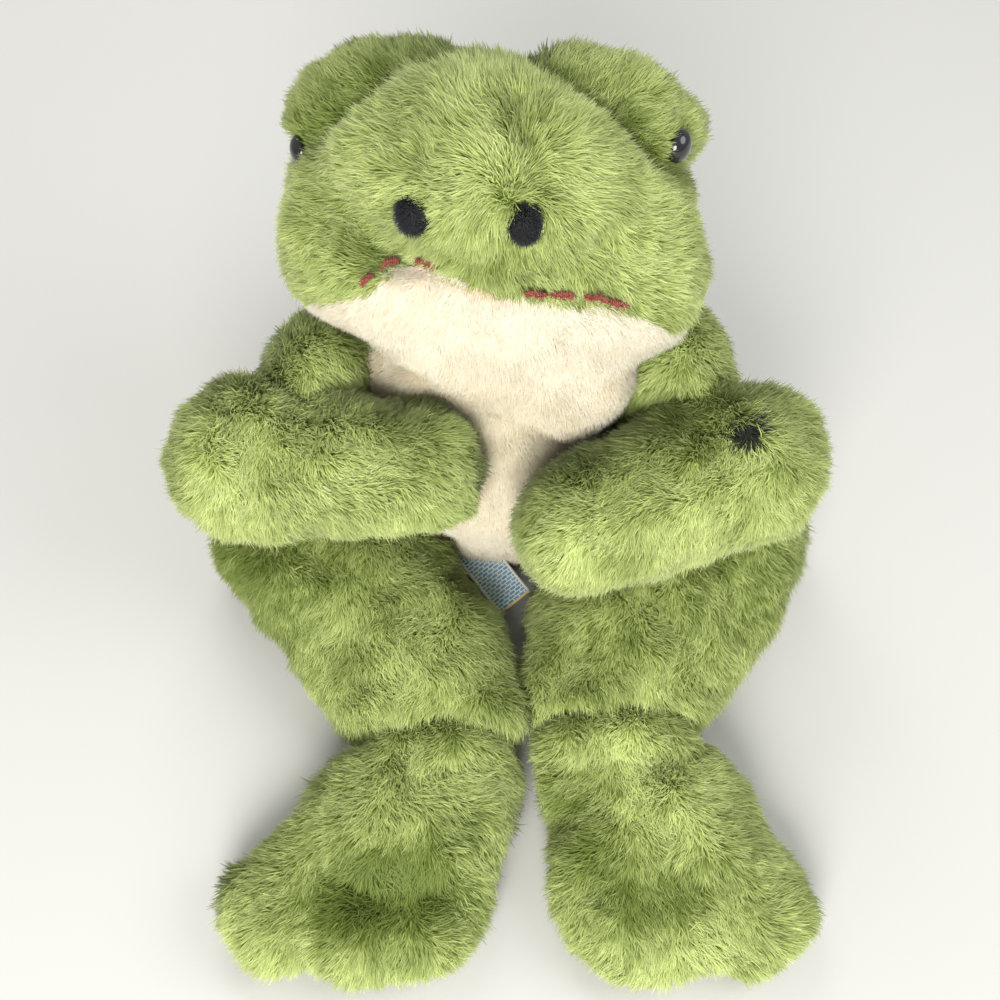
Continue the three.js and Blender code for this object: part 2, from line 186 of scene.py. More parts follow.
def egg(P, c, s, R=None):
    q = P - _v(*c)
    if R is not None:
        q = q @ R
    s = _v(*s)
    k0 = np.sqrt(((q / s) ** 2).sum(-1))
    k1 = np.sqrt(((q / (s * s)) ** 2).sum(-1))
    return k0 * (k0 - 1) / np.maximum(k1, 1e-6)


def ball(P, c, r):
    return np.sqrt(((P - _v(*c)) ** 2).sum(-1)) - r


def smin(a, b, k):
    h = np.maximum(k - np.abs(a - b), 0) / k
    return np.minimum(a, b) - h * h * k * 0.25


def smax(a, b, k):
    return -smin(-a, -b, k)


def waves(P, length, seed, n=9):
    """smooth noise of about unit size, from a few plane waves of that length"""
    r = np.random.default_rng(seed)
    out = np.zeros(P.shape[:-1], f32)
    for _ in range(n):
        k = r.normal(size=3)
        k *= 2 * math.pi / length * r.uniform(0.6, 1.5) / np.linalg.norm(k)
        out += np.sin(P @ k.astype(f32) + f32(r.uniform(0, 2 * math.pi)))
    return out * f32(math.sqrt(2.0 / n))


def near_line(P, pts):
    """distance to a polyline in space"""
    best = np.full(P.shape[:-1], 1e9, f32)
    for a, b in zip(pts[:-1], pts[1:]):
        a, b = _v(*a), _v(*b)
        ab = b - a
        t = np.clip(((P - a) @ ab) / float(ab @ ab), 0, 1)
        best = np.minimum(best, np.sqrt(((P - a - t[..., None] * ab) ** 2).sum(-1)))
    return best


def outline(x, z, poly):
    """signed distance to a closed outline, negative inside"""
    best = np.full(x.shape, 1e18, np.float64)
    inside = np.zeros(x.shape, bool)
    n = len(poly)
    for i in range(n):
        x1, z1 = poly[i]
        x2, z2 = poly[(i + 1) % n]
        ex, ez = x2 - x1, z2 - z1
        wx, wz = x - x1, z - z1
        t = np.clip((wx * ex + wz * ez) / (ex * ex + ez * ez), 0, 1)
        best = np.minimum(best, (wx - ex * t) ** 2 + (wz - ez * t) ** 2)
        crosses = ((z1 > z) != (z2 > z)) & (x < (x2 - x1) * (z - z1) / (z2 - z1 + 1e-12) + x1)
        inside ^= crosses
    return np.sqrt(best) * np.where(inside, -1.0, 1.0)


# ---- the places that the CAD model fixes -------------------------------------------------------
NECK, NECK_R = (3, 76, 108), 25.0
SHOULDER = {"left": ((71, 61, 93), 22.0), "right": ((-66, 59, 90), 21.0)}
HIP = {"left": ((50, 36, 27), 25.0), "right": ((-44, 35, 26), 24.0)}
ANKLE = {"left": ((53, -75, 17), (29, 15, 15)), "right": ((-20, -80, 16), (26, 14, 14))}
DANGLE = 50
HEAD = _v(1, 90, 158)
HR = rot("z", -5) @ rot("y", 3)


def on_head(x, y, z):
    return tuple((HR @ _v(x, y, z) + HEAD).tolist())


MOUND = {
    "left": (on_head(39.5, 13, 27), (34.5, 22, 20), HR @ rot("y", 16) @ rot("x", -25)),
    "right": (on_head(-36, 11.3, 23), (41, 24, 21.5), HR @ rot("y", -16) @ rot("x", -25)),
}
EYE_DIR = {"left": (0.87, -0.48, 0.06), "right": (-0.95, -0.26, -0.24)}
MOUTH = [(-70, 131), (-62, 137), (-52, 147), (-44, 152), (-36, 158.5), (-30, 160.5), (-24, 162), (-18, 162.6), (-8, 161), (1, 159),
         (14, 157.5), (21, 156.7), (30, 154.7), (42, 151.5), (53, 148.5), (61, 142), (67, 136), (74, 130), (71, 116), (66, 98), (56, 80), (-46, 80), (-57, 98), (-65, 116)]
MOUTH_LINE = [(-62, 55, 137), (-52, 52, 147), (-44, 50.5, 152), (-36, 50, 158.5), (-24, 48.5, 162), (-8, 43.5, 161), (1, 41.5, 159),
              (14, 40.8, 157.5), (30, 44, 154.7), (42, 46, 151.5), (53, 46, 148.5), (61, 48, 142)]
BELLY = [(-58, 118), (-56, 100), (-50, 80), (-44, 55), (-40, 32), (-26, 14), (-22, 9), (26, 9), (30, 14), (42, 32), (47, 55), (54, 80), (60, 100), (62, 118)]
UPPER = {"left": (86, 42, 84), "right": (-81, 40, 82)}
ELBOW = {"left": (100, 18, 79), "right": (-97, 20, 79)}
PAW = {"left": (38, -9, 76), "right": (-27, 10, 86)}
TOE = {
    "left": [((54, -86, 14), (65, -114, 12), 30, 35), ((66, -112, 12), (100, -138, 11), 30, 17), ((62, -114, 12), (56, -140, 11), 30, 19), ((56, -141, 11), (99, -140, 11), 18, 17.2)],
    "right": [((-21, -86, 13), (-34, -116, 12), 28, 34), ((-34, -112, 12), (-77, -137, 11), 27, 16.2), ((-34, -116, 12), (-28, -143, 11), 30, 17), ((-76, -141, 11), (-28, -144, 11), 15.6, 16)],
}
FOLD = [(13.2, 71, 214), (14.2, 62, 211.5), (15, 54, 206), (15.7, 47.5, 199), (16, 44.5, 194)]


def trunk(P):
    a = limb(P, (3, 54, 38), (3, 68, 76), 44, 38, kx=1.32)
    return smax(a, -P[..., 2], 4)


def torso_plain(P):
    a = smin(trunk(P), egg(P, (1, 68, 90), (58, 38, 25)), 6)
    return smax(smin(a, egg(P, (3, 42, 20), (46, 31.5, 20)), 6), -P[..., 2], 4)


def torso(P):
    d = torso_plain(P) + 0.9 * waves(P, 46, 11)
    for c, r in list(SHOULDER.values()) + list(HIP.values()):
        d = smax(d, -ball(P, c, r + 0.8), 2)
    return smax(d, -P[..., 2], 3)


def mounds(P, grow=0.0):
    return np.minimum(*[egg(P, *MOUND[s]) for s in ("left", "right")]) - grow


def dome(P):
    return smin(egg(P, on_head(0, -9, 18), (54, 42, 33), HR @ rot("x", -42)), egg(P, on_head(-6, -4, 20.5), (34, 36, 32.5), HR @ rot("x", -42)), 8)


def throat(P):
    """the bib under the chin: it narrows down to the breast, and lies over to the frog's left"""
    at = (66, 74, 82, 90, 98, 106, 114, 124, 134, 142, 152)
    f = lambda v: np.interp(P[..., 2], at, v).astype(f32)
    half, mid = f((10, 14, 19, 25, 31, 36, 42, 50, 57, 59, 55)), f((22, 22, 22, 22, 22, 20, 15, 9, 5, 4, 3))
    front = f((38, 33, 28.5, 26, 25.4, 26, 27.4, 30, 33, 36, 43))
    deep = 34
    q = ((np.abs(P[..., 0] - mid) / half) ** 3 + (np.abs(P[..., 1] - front - deep) / deep) ** 3) ** f32(1 / 3) - 1
    return smax(q * np.minimum(half, 30) * f32(0.85), np.abs(P[..., 2] - 112) - 44, 8)


def skull(P):
    X = lambda deg: HR @ rot("x", deg)
    crown = egg(P, on_head(0, 4, 0), (73, 48, 38), X(-34))
    cheeks = smin(egg(P, on_head(-49, -19, -16), (25, 25, 27), X(-20)), egg(P, on_head(55, -19, -14), (26, 25, 29), X(-20)), 5)
    chin = smin(egg(P, on_head(2, -26, -16), (60, 30, 26), X(-10)), throat(P), 14)
    top = smin(smin(crown, dome(P), 6), cheeks, 12)
    return smin(top, chin, 12)


def head(P):
    d = skull(P) + 0.8 * waves(P, 42, 21)
    d = d + 4.2 * np.exp(-(near_line(P, FOLD) / 4.5) ** 2)                       # the fold down the brow
    d = d + 1.1 * np.exp(-(near_line(P, MOUTH_LINE) / 3.2) ** 2)                 # the seam under the muzzle
    d = d + 3.2 * np.exp(-((mounds(P) - 1) / 4.5) ** 2)                          # the valley beside each mound
    for c, r, a in (((-41, 57, 172.6), 9, 2.2), ((-37, 52, 166), 7, 1.6), ((40, 52, 176), 9, 1.4)):
        d = d + a * np.exp(-((P - _v(*c)) ** 2).sum(-1) / (r * r))
    return smax(d, -(torso_plain(P) - 1.4), 4)


def mound(side):
    c, s, R = MOUND[side]
    return lambda P: smax(egg(P, c, s, R) + 0.7 * waves(P, 24, 31 if side == "left" else 32) + 2.6 * np.exp(-(skull(P) / 5) ** 2), -(skull(P) + 5), 2)


def neck(P):
    return ball(P, NECK, NECK_R - 0.5)


def arm(side):
    def d(P):
        a = limb(P, SHOULDER[side][0], UPPER[side], SHOULDER[side][1], 17 if side == "left" else 16)
        b = limb(P, ELBOW[side], PAW[side], 30 if side == "left" else 28, 23 if side == "left" else 21)
        return smin(a, b, 5) + 0.9 * waves(P, 38, 42 if side == "left" else 41)
    return d


def leg(side):
    c, r = HIP[side]
    ac, ah = ANKLE[side]

    def d(P):
        if side == "left":
            a = smin(limb(P, (91, 19, 24), (52, -53, 16), 45, 32, kz=0.56), limb(P, (64, -24, 17), (50, -55, 16), 38, 33, kz=0.56), 8)
        else:
            a = smin(limb(P, (-71, 17, 23), (-21, -62, 15), 43, 28, kz=0.56), limb(P, (-30, -36, 16), (-17, -62, 15), 33, 30, kz=0.56), 8)
        a = a + 1.0 * waves(P, 36, 51 if side == "left" else 52)
        for share in (0.0, 0.5, 1.0):
            Q = (P - _v(*c)) @ rot("x", DANGLE * share).T + _v(*c) if share else P
            a = smax(a, -(trunk(Q) - 1.6), 3)
        a = smin(a, ball(P, c, r), 4)
        a = smax(a, -egg(P, ac, tuple(h + 1.2 for h in ah)), 3)
        a = smax(a, (ac[1] + 6.5) - P[..., 1], 9)
        return smax(a, -P[..., 2], 4)
    return d


def foot(side):
    ac, ah = ANKLE[side]

    def d(P):
        a = limb(P, *TOE[side][0], kz=0.5)
        for t in TOE[side][1:]:
            a = smin(a, limb(P, *t, kz=0.5), 8)
        a = a + 0.6 * waves(P, 34, 61 if side == "left" else 62)
        if side == "left":
            toe, kx = (ac[0] + 5, ac[1] - 20, ac[2] - 3), 1.9
            dents = [((33, -101, 27), 13, 3.0), ((46, -126, 27), 13, 3.0), ((66, -137, 26), 12, 2.2)]
        else:
            toe, kx = (ac[0] - 4, ac[1] - 20, ac[2] - 3), 1.7
            dents = [((-31, -134, 26), 15, 7.0), ((-49, -134, 25), 13, 5.0)]
        a = smax(a, P[..., 1] - (ac[1] - 4), 4)
        a = smin(a, egg(P, ac, ah), 4)
        a = smin(a, limb(P, ac, toe, 13, 13, kx=kx), 8)
        for c, r, h in dents:
            q = P - _v(*c)
            a = a + h * np.exp(-(q[..., 0] ** 2 + q[..., 1] ** 2) / (r * r)) * np.clip(P[..., 2] / 14, 0, 1)
        a = smax(a, (15.4 - P[..., 0]) if side == "left" else (P[..., 0] - 13.4), 4)
        return smax(a, -P[..., 2], 4)
    return d


def slope(sdf, P, e=0.7):
    """unit outward normals"""
    k = np.array([[1, -1, -1], [-1, -1, 1], [-1, 1, -1], [1, 1, 1]], f32)
    g = sum(v * sdf(P + v * f32(e))[:, None] for v in k)
    return g / np.maximum(np.linalg.norm(g, axis=1, keepdims=True), 1e-9)


def surface(sdf, lo, hi, h):
    """(vertices, triangles) of the zero level"""
    lo, hi = np.array(lo, float), np.array(hi, float)
    n = np.ceil((hi - lo) / h).astype(int) + 1
    ax = [lo[i] + h * np.arange(n[i]) for i in range(3)]
    vals = np.empty(n, f32)
    for i in range(0, n[0], 24):
        g = np.stack(np.meshgrid(ax[0][i:i + 24], ax[1], ax[2], indexing="ij"), -1).astype(f32)
        vals[i:i + 24] = sdf(g)
    grid = openvdb.FloatGrid(background=float(4 * h))
    grid.copyFromArray(vals)
    pts, tri, quad = grid.convertToPolygons(isovalue=0.0, adaptivity=0.0)
    V = (lo + pts * h).astype(f32)
    F = np.concatenate([tri.reshape(-1, 3), quad[:, [0, 1, 2]], quad[:, [0, 2, 3]]]).astype(np.int32)
    for _ in range(2):
        V = V - slope(sdf, V) * sdf(V)[:, None] * f32(0.9)
    a, b, c = V[F[:, 0]].astype(float), V[F[:, 1]].astype(float), V[F[:, 2]].astype(float)
    if np.einsum("ij,ij->i", a, np.cross(b, c)).sum() < 0:
        F = F[:, ::-1].copy()
    return V, F


# =================================================================================================
# meshes and materials
# =================================================================================================
def mesh_object(name, V, F, mat, uv=None, smooth=True, row=False, normals=None):
    """V in millimetres of the layout, or in the row frame's metres with row=True; uv and normals are per vertex"""
    me = bpy.data.meshes.new(name)
    V = np.asarray(V if row else to_row(V), f32)
    me.vertices.add(len(V))
    me.vertices.foreach_set("co", V.ravel())
    F = np.asarray(F, np.int32)
    k = F.shape[1]
    me.loops.add(F.size)
    me.loops.foreach_set("vertex_index", F.ravel())
    me.polygons.add(len(F))
    me.polygons.foreach_set("loop_start", np.arange(0, F.size, k, dtype=np.int32))
    me.update(calc_edges=True)
    if uv is not None:
        layer = me.uv_layers.new(name="OFBake")
        layer.data.foreach_set("uv", np.asarray(uv, f32)[F.ravel()].ravel())
    if smooth:
        me.polygons.foreach_set("use_smooth", np.ones(len(F), bool))
    me.materials.append(mat)
    me.validate()
    if normals is not None:
        me.normals_split_custom_set_from_vertices(np.asarray(normals, f32))
    ob = bpy.data.objects.new(name, me)
    scene.collection.objects.link(ob)
    return ob


def pile_material(name, dark, light, sheen=0.30, stain=None, rough=0.62):
    """a pile's colour runs from root to tip along v, darker at the root as painted shade deep in the pile and paler at
    the tip as painted light, between a dark and a light set along u; past u = 0.93 it is the stain
    """
    mat = bpy.data.materials.new(name)
    nt, p = nodes_of(mat)
    uv = add(nt, "ShaderNodeUVMap", uv_map="OFBake")
    sep = add(nt, "ShaderNodeSeparateXYZ")
    nt.links.new(uv.outputs["UV"], sep.inputs[0])
    a, b = ramp(nt, dark), ramp(nt, light)
    nt.links.new(sep.outputs["Y"], a.inputs["Fac"])
    nt.links.new(sep.outputs["Y"], b.inputs["Fac"])
    mix = add(nt, "ShaderNodeMix", data_type="RGBA")
    nt.links.new(sep.outputs["X"], mix.inputs["Factor"])
    nt.links.new(a.outputs["Color"], mix.inputs[6])
    nt.links.new(b.outputs["Color"], mix.inputs[7])
    out = mix.outputs[2]
    if stain:
        s = ramp(nt, stain)
        nt.links.new(sep.outputs["Y"], s.inputs["Fac"])
        gate = ramp(nt, [(0.0, (0, 0, 0)), (0.93, (0, 0, 0)), (0.935, (1, 1, 1))])
        nt.links.new(sep.outputs["X"], gate.inputs["Fac"])
        m2 = add(nt, "ShaderNodeMix", data_type="RGBA")
        nt.links.new(gate.outputs["Color"], m2.inputs["Factor"])
        nt.links.new(out, m2.inputs[6])
        nt.links.new(s.outputs["Color"], m2.inputs[7])
        out = m2.outputs[2]
    nt.links.new(out, p.inputs["Base Color"])
    p.inputs["Roughness"].default_value = rough
    p.inputs["Specular IOR Level"].default_value = 0.25
    p.inputs["Sheen Weight"].default_value = sheen
    p.inputs["Sheen Roughness"].default_value = 0.45
    p.inputs["Sheen Tint"].default_value = (0.95, 1.0, 0.62, 1)
    return mat


def backing_material(name, a, b, scale=900.0):
    """the knitted backing under the pile"""
    mat = bpy.data.materials.new(name)
    nt, p = nodes_of(mat)
    co = add(nt, "ShaderNodeTexCoord")
    n1 = add(nt, "ShaderNodeTexNoise")
    n1.inputs["Scale"].default_value = 60.0
    n1.inputs["Detail"].default_value = 3.0
    v = add(nt, "ShaderNodeTexVoronoi")
    v.inputs["Scale"].default_value = scale
    nt.links.new(co.outputs["Object"], n1.inputs["Vector"])
    nt.links.new(co.outputs["Object"], v.inputs["Vector"])
    cr = ramp(nt, [(0.3, a), (0.7, b)])
    nt.links.new(n1.outputs["Fac"], cr.inputs["Fac"])
    nt.links.new(cr.outputs["Color"], p.inputs["Base Color"])
    bump = add(nt, "ShaderNodeBump")
    bump.inputs["Strength"].default_value = 0.4
    bump.inputs["Distance"].default_value = 0.0004
    nt.links.new(v.outputs["Distance"], bump.inputs["Height"])
    nt.links.new(bump.outputs["Normal"], p.inputs["Normal"])
    p.inputs["Roughness"].default_value = 0.9
    p.inputs["Specular IOR Level"].default_value = 0.15
    return mat


# each set runs from a dark root, painted shade deep in the pile, to a pale tip, painted light on the tips
GREEN = pile_material(
    "green_pile",
    dark=[(0.0, (0.075, 0.11, 0.010)), (0.35, (0.09, 0.132, 0.012)), (0.75, (0.115, 0.168, 0.018)), (1.0, (0.15, 0.21, 0.028))],
    light=[(0.0, (0.32, 0.40, 0.09)), (0.35, (0.48, 0.575, 0.155)), (0.75, (0.72, 0.82, 0.295)), (1.0, (0.91, 0.98, 0.50))],
    stain=[(0.0, (0.01, 0.012, 0.010)), (0.6, (0.018, 0.022, 0.018)), (1.0, (0.035, 0.042, 0.03))])
CREAM = pile_material(
    "cream_pile",
    dark=[(0.0, (0.52, 0.44, 0.28)), (0.5, (0.66, 0.575, 0.39)), (1.0, (0.74, 0.655, 0.47))],
    light=[(0.0, (0.76, 0.67, 0.50)), (0.5, (0.92, 0.85, 0.68)), (1.0, (0.98, 0.93, 0.80))],
    stain=[(0.0, (0.60, 0.30, 0.20)), (0.6, (0.84, 0.55, 0.42)), (1.0, (0.93, 0.74, 0.60))], sheen=0.25)
CREAM.node_tree.nodes["Principled BSDF"].inputs["Sheen Tint"].default_value = (1, 0.97, 0.9, 1)
BLACK_PILE = pile_material(
    "nostril_pile",
    dark=[(0.0, (0.004, 0.004, 0.004)), (1.0, (0.010, 0.010, 0.012))],
    light=[(0.0, (0.008, 0.008, 0.008)), (0.7, (0.018, 0.018, 0.022)), (1.0, (0.05, 0.055, 0.06))], sheen=0.12)
BLACK_PILE.node_tree.nodes["Principled BSDF"].inputs["Sheen Tint"].default_value = (0.8, 0.85, 1, 1)
BACK_GREEN = backing_material("green_backing", (0.15, 0.205, 0.032), (0.22, 0.285, 0.055))
BACK_CREAM = backing_material("cream_backing", (0.55, 0.48, 0.34), (0.70, 0.62, 0.46))
BACK_BLACK = backing_material("black_backing", (0.006, 0.006, 0.006), (0.012, 0.012, 0.012))


# =================================================================================================
# pile
# =================================================================================================
SIDE = 0.45                      # how round each strand shades; the rest follows the skin under it
FRONT = _v(0, -0.5446, 0.8387)   # the side that the frog shows


def unit(v):
    return v / np.maximum(np.linalg.norm(v, axis=-1, keepdims=True), 1e-9)


def scatter(V, F, per_mm2, rng):
    a, b, c = V[F[:, 0]], V[F[:, 1]], V[F[:, 2]]
    area = np.linalg.norm(np.cross(b - a, c - a), axis=1) / 2
    cum = np.cumsum(area.astype(np.float64))
    n = int(cum[-1] * per_mm2)
    at = (np.arange(n) + rng.random(n)) / n * cum[-1]
    i = np.clip(np.searchsorted(cum, at), 0, len(F) - 1)
    r1, r2 = np.sqrt(rng.random(n)), rng.random(n)
    w = np.stack([1 - r1, r1 * (1 - r2), r1 * r2], 1)[:, :, None]
    return ((np.stack([a[i], b[i], c[i]], 1) * w).sum(1)).astype(f32), float(cum[-1])


def tufts(P, N, T, L, W, a0, a1, u, rng, sink=0.7):
    """curved tapering strands; a0 and a1 are the lean from the normal in the lower and upper half"""
    d0 = unit(N * np.cos(a0)[:, None] + T * np.sin(a0)[:, None])
    d1 = unit(N * np.cos(a1)[:, None] + T * np.sin(a1)[:, None])
    mid = P + d0 * (L * 0.5)[:, None]
    return ring_tufts(P - N * f32(sink), mid, mid + d1 * (L * 0.5)[:, None], N, W, u, rng)


def ring_tufts(base, mid, tip, N, W, u, rng):
    """curved strands of three sides: 7 vertices and 10 triangles each"""
    n = len(base)
    e0, e1 = unit(mid - base), unit(tip - mid)
    em = unit(e0 + e1)
    twist = rng.uniform(0, 2 * math.pi, n).astype(f32)
    out, nor = [], []
    for at, e, w in ((base, e0, W * 0.5), (mid, em, W * 0.42)):
        s = unit(np.cross(e, N) + 1e-4)
        q = np.cross(e, s)
        for k in range(3):
            t = twist + f32(2 * math.pi * k / 3)
            r = s * np.cos(t)[:, None] + q * np.sin(t)[:, None]
            out.append(at + r * w[:, None])
            nor.append(unit(N + r * f32(SIDE)))
    V = np.stack([*out, tip], 1).astype(f32)
    M = np.stack([*nor, N], 1).astype(f32)
    V[..., 2] = np.maximum(V[..., 2], 0.3)
    o = (np.arange(n, dtype=np.int32) * 7)[:, None]
    f = np.array([[0, 2, 1], [0, 1, 4], [0, 4, 3], [1, 2, 5], [1, 5, 4], [2, 0, 3], [2, 3, 5], [3, 4, 6], [4, 5, 6], [5, 3, 6]], np.int32)
    F = (o[:, None, :] + f[None]).reshape(-1, 3)
    du = np.array([-0.006, 0.0, 0.006, -0.005, 0.001, 0.006, 0.0], f32)
    v = np.array([0.02, 0.03, 0.02, 0.50, 0.52, 0.50, 0.985], f32)
    uv = np.stack([u[:, None] + du[None], np.broadcast_to(v, (n, 7))], -1)
    return V.reshape(-1, 3), F, uv.reshape(-1, 2), M.reshape(-1, 3)


def spikes(base, tip, N, W, u, rng, top=0.985):
    """straight strands: 4 vertices and 4 triangles each"""
    n = len(base)
    e = unit(tip - base)
    s = unit(np.cross(e, N) + 1e-4)
    q = np.cross(e, s)
    twist = rng.uniform(0, 2 * math.pi, n).astype(f32)
    out, nor = [], []
    for k in range(3):
        t = twist + f32(2 * math.pi * k / 3)
        r = s * np.cos(t)[:, None] + q * np.sin(t)[:, None]
        out.append(base + r * (W * 0.5)[:, None])
        nor.append(unit(N + r * f32(SIDE)))
    V = np.stack([*out, tip], 1).astype(f32)
    M = np.stack([*nor, N], 1).astype(f32)
    V[..., 2] = np.maximum(V[..., 2], 0.3)
    o = (np.arange(n, dtype=np.int32) * 4)[:, None]
    f = np.array([[0, 2, 1], [0, 1, 3], [1, 2, 3], [2, 0, 3]], np.int32)
    F = (o[:, None, :] + f[None]).reshape(-1, 3)
    du = np.array([-0.006, 0.0, 0.006, 0.001], f32)
    v = np.array([0.02, 0.03, 0.02, top], f32)
    uv = np.stack([u[:, None] + du[None], np.broadcast_to(v, (n, 4))], -1)
    return V.reshape(-1, 3), F, uv.reshape(-1, 2), M.reshape(-1, 3)


def nearest(P, pick, rng, jitter=0.3):
    """index of the picked strand that each strand stands closest to"""
    kd = KDTree(len(pick))
    for j, p in enumerate(P[pick].tolist()):
        kd.insert(p, j)
    kd.balance()
    wob = P + rng.normal(0, jitter, P.shape)
    return np.fromiter((kd.find(p)[1] for p in wob.tolist()), np.int64, len(P))


TALLY = {"tris": 0}


def emit(prefix, groups, mat, body, most=190000, along=0):
    """builds the strands of a part as one or more pieces, each under the given number of triangles"""
    groups = [g for g in groups if len(g[1])]
    total = sum(len(g[1]) for g in groups)
    parts = max(1, math.ceil(total / most))
    size = [7 if len(g[0]) * 10 == len(g[1]) * 7 else 4 for g in groups]
    keys = [g[0][::k, along] for g, k in zip(groups, size)]        # where each strand stands along one direction
    allk = np.concatenate(keys)
    wt = np.concatenate([np.full(len(key), 10.0 if k == 7 else 4.0) for key, k in zip(keys, size)])
    order = np.argsort(allk)
    cum = np.cumsum(wt[order])
    edges = [-1e9] + [allk[order][np.searchsorted(cum, cum[-1] * i / parts)] for i in range(1, parts)] + [1e9]
    made = []
    for i in range(parts):
        Vs, Fs, Us, Ms, off = [], [], [], [], 0
        for (V, F, uv, M), key, k in zip(groups, keys, size):
            per = 10 if k == 7 else 4
            sel = np.nonzero((key >= edges[i]) & (key < edges[i + 1]))[0]
            if not len(sel):
                continue
            v = V.reshape(-1, k, 3)[sel].reshape(-1, 3)
            Vs.append(v)
            Us.append(uv.reshape(-1, k, 2)[sel].reshape(-1, 2))
            Ms.append(M.reshape(-1, k, 3)[sel].reshape(-1, 3))
            f = F[:per][None] + (np.arange(len(sel), dtype=np.int32) * k)[:, None, None]
            Fs.append(f.reshape(-1, 3) + off)
            off += len(v)
        name = prefix if parts == 1 else f"{prefix}_{i + 1}"
        ob = mesh_object(name, np.concatenate(Vs), np.concatenate(Fs), mat, uv=np.concatenate(Us), normals=np.concatenate(Ms))
        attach(ob, body)
        TALLY["tris"] += len(ob.data.polygons)
        made.append(ob)
    return made


ALL = {}          # part name -> its skin's distance, for hiding roots that lie deep in a neighbour


def tangent(D, N):
    return unit(D - (D * N).sum(-1, keepdims=True) * N)


def grow_pile(name, sdf, V, F, body, flow, seed, density=3.7, length=8.4, width=0.76, lean=44, keep=None, shade=None, mat=None, hide=8.0,
              along=0, lean_by=None, clump=(3.6, 0.15, 0.6), spread=0.16, stain=None, guard=0.24, back=0.55, len_by=None, rough=1.0, swirl=0.45):
    rng = np.random.default_rng(seed)
    P, _ = scatter(V, F, density, rng)
    P = P - slope(sdf, P) * sdf(P)[:, None]
    ok = ~((P[:, 2] < 2.5) & (rng.random(len(P)) < 0.6))          # thinner where it is pressed on the table
    for other, d in ALL.items():
        if other != name and not name.startswith(other):
            ok &= d(P) > -hide
    if keep is not None:
        ok &= keep(P, rng)
    P = P[ok]
    N = slope(sdf, P)
    behind = N @ FRONT < -0.08
    ok = ~(behind & (rng.random(len(P)) > back))
    P, N, behind = P[ok], N[ok], behind[ok]
    n = len(P)
    D = flow(P, N)
    D = D + spread * np.stack([waves(P, 26, seed + 1), waves(P, 26, seed + 2), waves(P, 26, seed + 3)], 1)
    D = D + 0.6 * spread * np.stack([waves(P, 9, seed + 4), waves(P, 9, seed + 5), waves(P, 9, seed + 6)], 1)
    D = D + 0.18 * rough * rng.normal(0, 1, P.shape)
    T = tangent(D, N)
    turn = (swirl * (0.65 * waves(P, 30, seed + 14) + 0.5 * waves(P, 13, seed + 15)))[:, None].astype(f32)
    T = T * np.cos(turn) + np.cross(N, T) * np.sin(turn)
    L = length * (1 + 0.08 * waves(P, 18, seed + 7)) * rng.uniform(0.72, 1.1, n)
    if len_by is not None:
        L = L * len_by(P)
    L = np.where(P[:, 2] < 3, L * 0.5, L).astype(f32)
    a = np.radians(lean + 6 * waves(P, 20, seed + 8) + 9 * rough * rng.normal(0, 1, n))
    if lean_by is not None:
        a = a * lean_by(P, N)
    a = np.clip(a, 0.05, 1.45).astype(f32)
    # pressed flatter where it would stand out towards the front and top
    facing = np.clip((unit(N * np.cos(a)[:, None] + T * np.sin(a)[:, None]) @ FRONT - 0.78) / 0.2, 0, 1)
    a = (a + f32(0.26) * facing).astype(f32)
    tip = P + unit(N * np.cos(a)[:, None] + T * np.sin(a)[:, None]) * L[:, None]
    # tips gather in small locks
    m = max(8, int(n / (density * clump[0])))
    pick = rng.choice(n, m, replace=False)
    near = nearest(P, pick, rng)
    pull = np.clip(rng.uniform(clump[1], clump[2], m)[near] * rng.uniform(0.6, 1.2, n), 0, 0.85)
    light_shade_and_tone = rng.normal(0, 1, m)[near]
    sway = rng.normal(0, 0.5, (m, 3))[near]
    tip = tip + (tip[pick][near] + sway - tip) * pull[:, None]
    W = (width * rng.uniform(0.7, 1.25, n) * np.where(behind, 1.3, 1.0)).astype(f32)
    u = 0.48 + 0.06 * waves(P, 34, seed + 10) + 0.05 * waves(P, 11, seed + 11) + 0.085 * light_shade_and_tone + 0.075 * rng.normal(0, 1, n)
    # each part's shade function adds its painted light and shade to u
    if shade is not None:
        u = u + shade(P, N)
    u = np.clip(u, 0.02, 0.88)
    if stain is not None:
        u = np.where(rng.random(n) < stain(P), 0.975, u)
    u, tip = u.astype(f32), tip.astype(f32)
    long = rng.random(n) < guard
    s = ~long
    groups = [spikes(P[s] - N[s] * f32(0.6), tip[s], N[s], W[s], u[s], rng)]
    if long.any():
        e = unit(tip[long] - P[long])
        Lg = (L[long] * rng.uniform(0.98, 1.2, int(long.sum()))).astype(f32)
        g0 = unit(e * 0.8 + N[long] * 0.25 + rng.normal(0, 0.16, e.shape).astype(f32))
        g1 = unit(e * 0.9 + T[long] * 0.2 + rng.normal(0, 0.22, e.shape).astype(f32))
        mid = P[long] + g0 * (Lg * 0.5)[:, None]
        groups.append(ring_tufts(P[long] - N[long] * f32(0.6), mid, (mid + g1 * (Lg * 0.5)[:, None]).astype(f32), N[long], W[long] * f32(0.8), np.clip(u[long] + 0.06, 0.02, 0.975 if stain is not None else 0.88).astype(f32), rng))
    return emit(name + "_pile", groups, mat or GREEN, body, along=along)


def skin(name, sdf, lo, hi, mat, body, replaced, h=2.0):
    V, F = surface(sdf, lo, hi, h)
    ob = mesh_object(name, V, F, mat)
    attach(ob, body)
    if replaced:
        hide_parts(*replaced)
    return V, F, ob


# ---- where the pile lies ----------------------------------------------------------------------
WHORL = _v(8, 46, 193)           # the pile of the muzzle spreads out from here, and parts along the fold above it
FALL = _v(0, -0.84, -0.54)       # the way that it was stroked


def down(P, N):
    return np.broadcast_to(_v(0, -0.5, -0.86), P.shape)


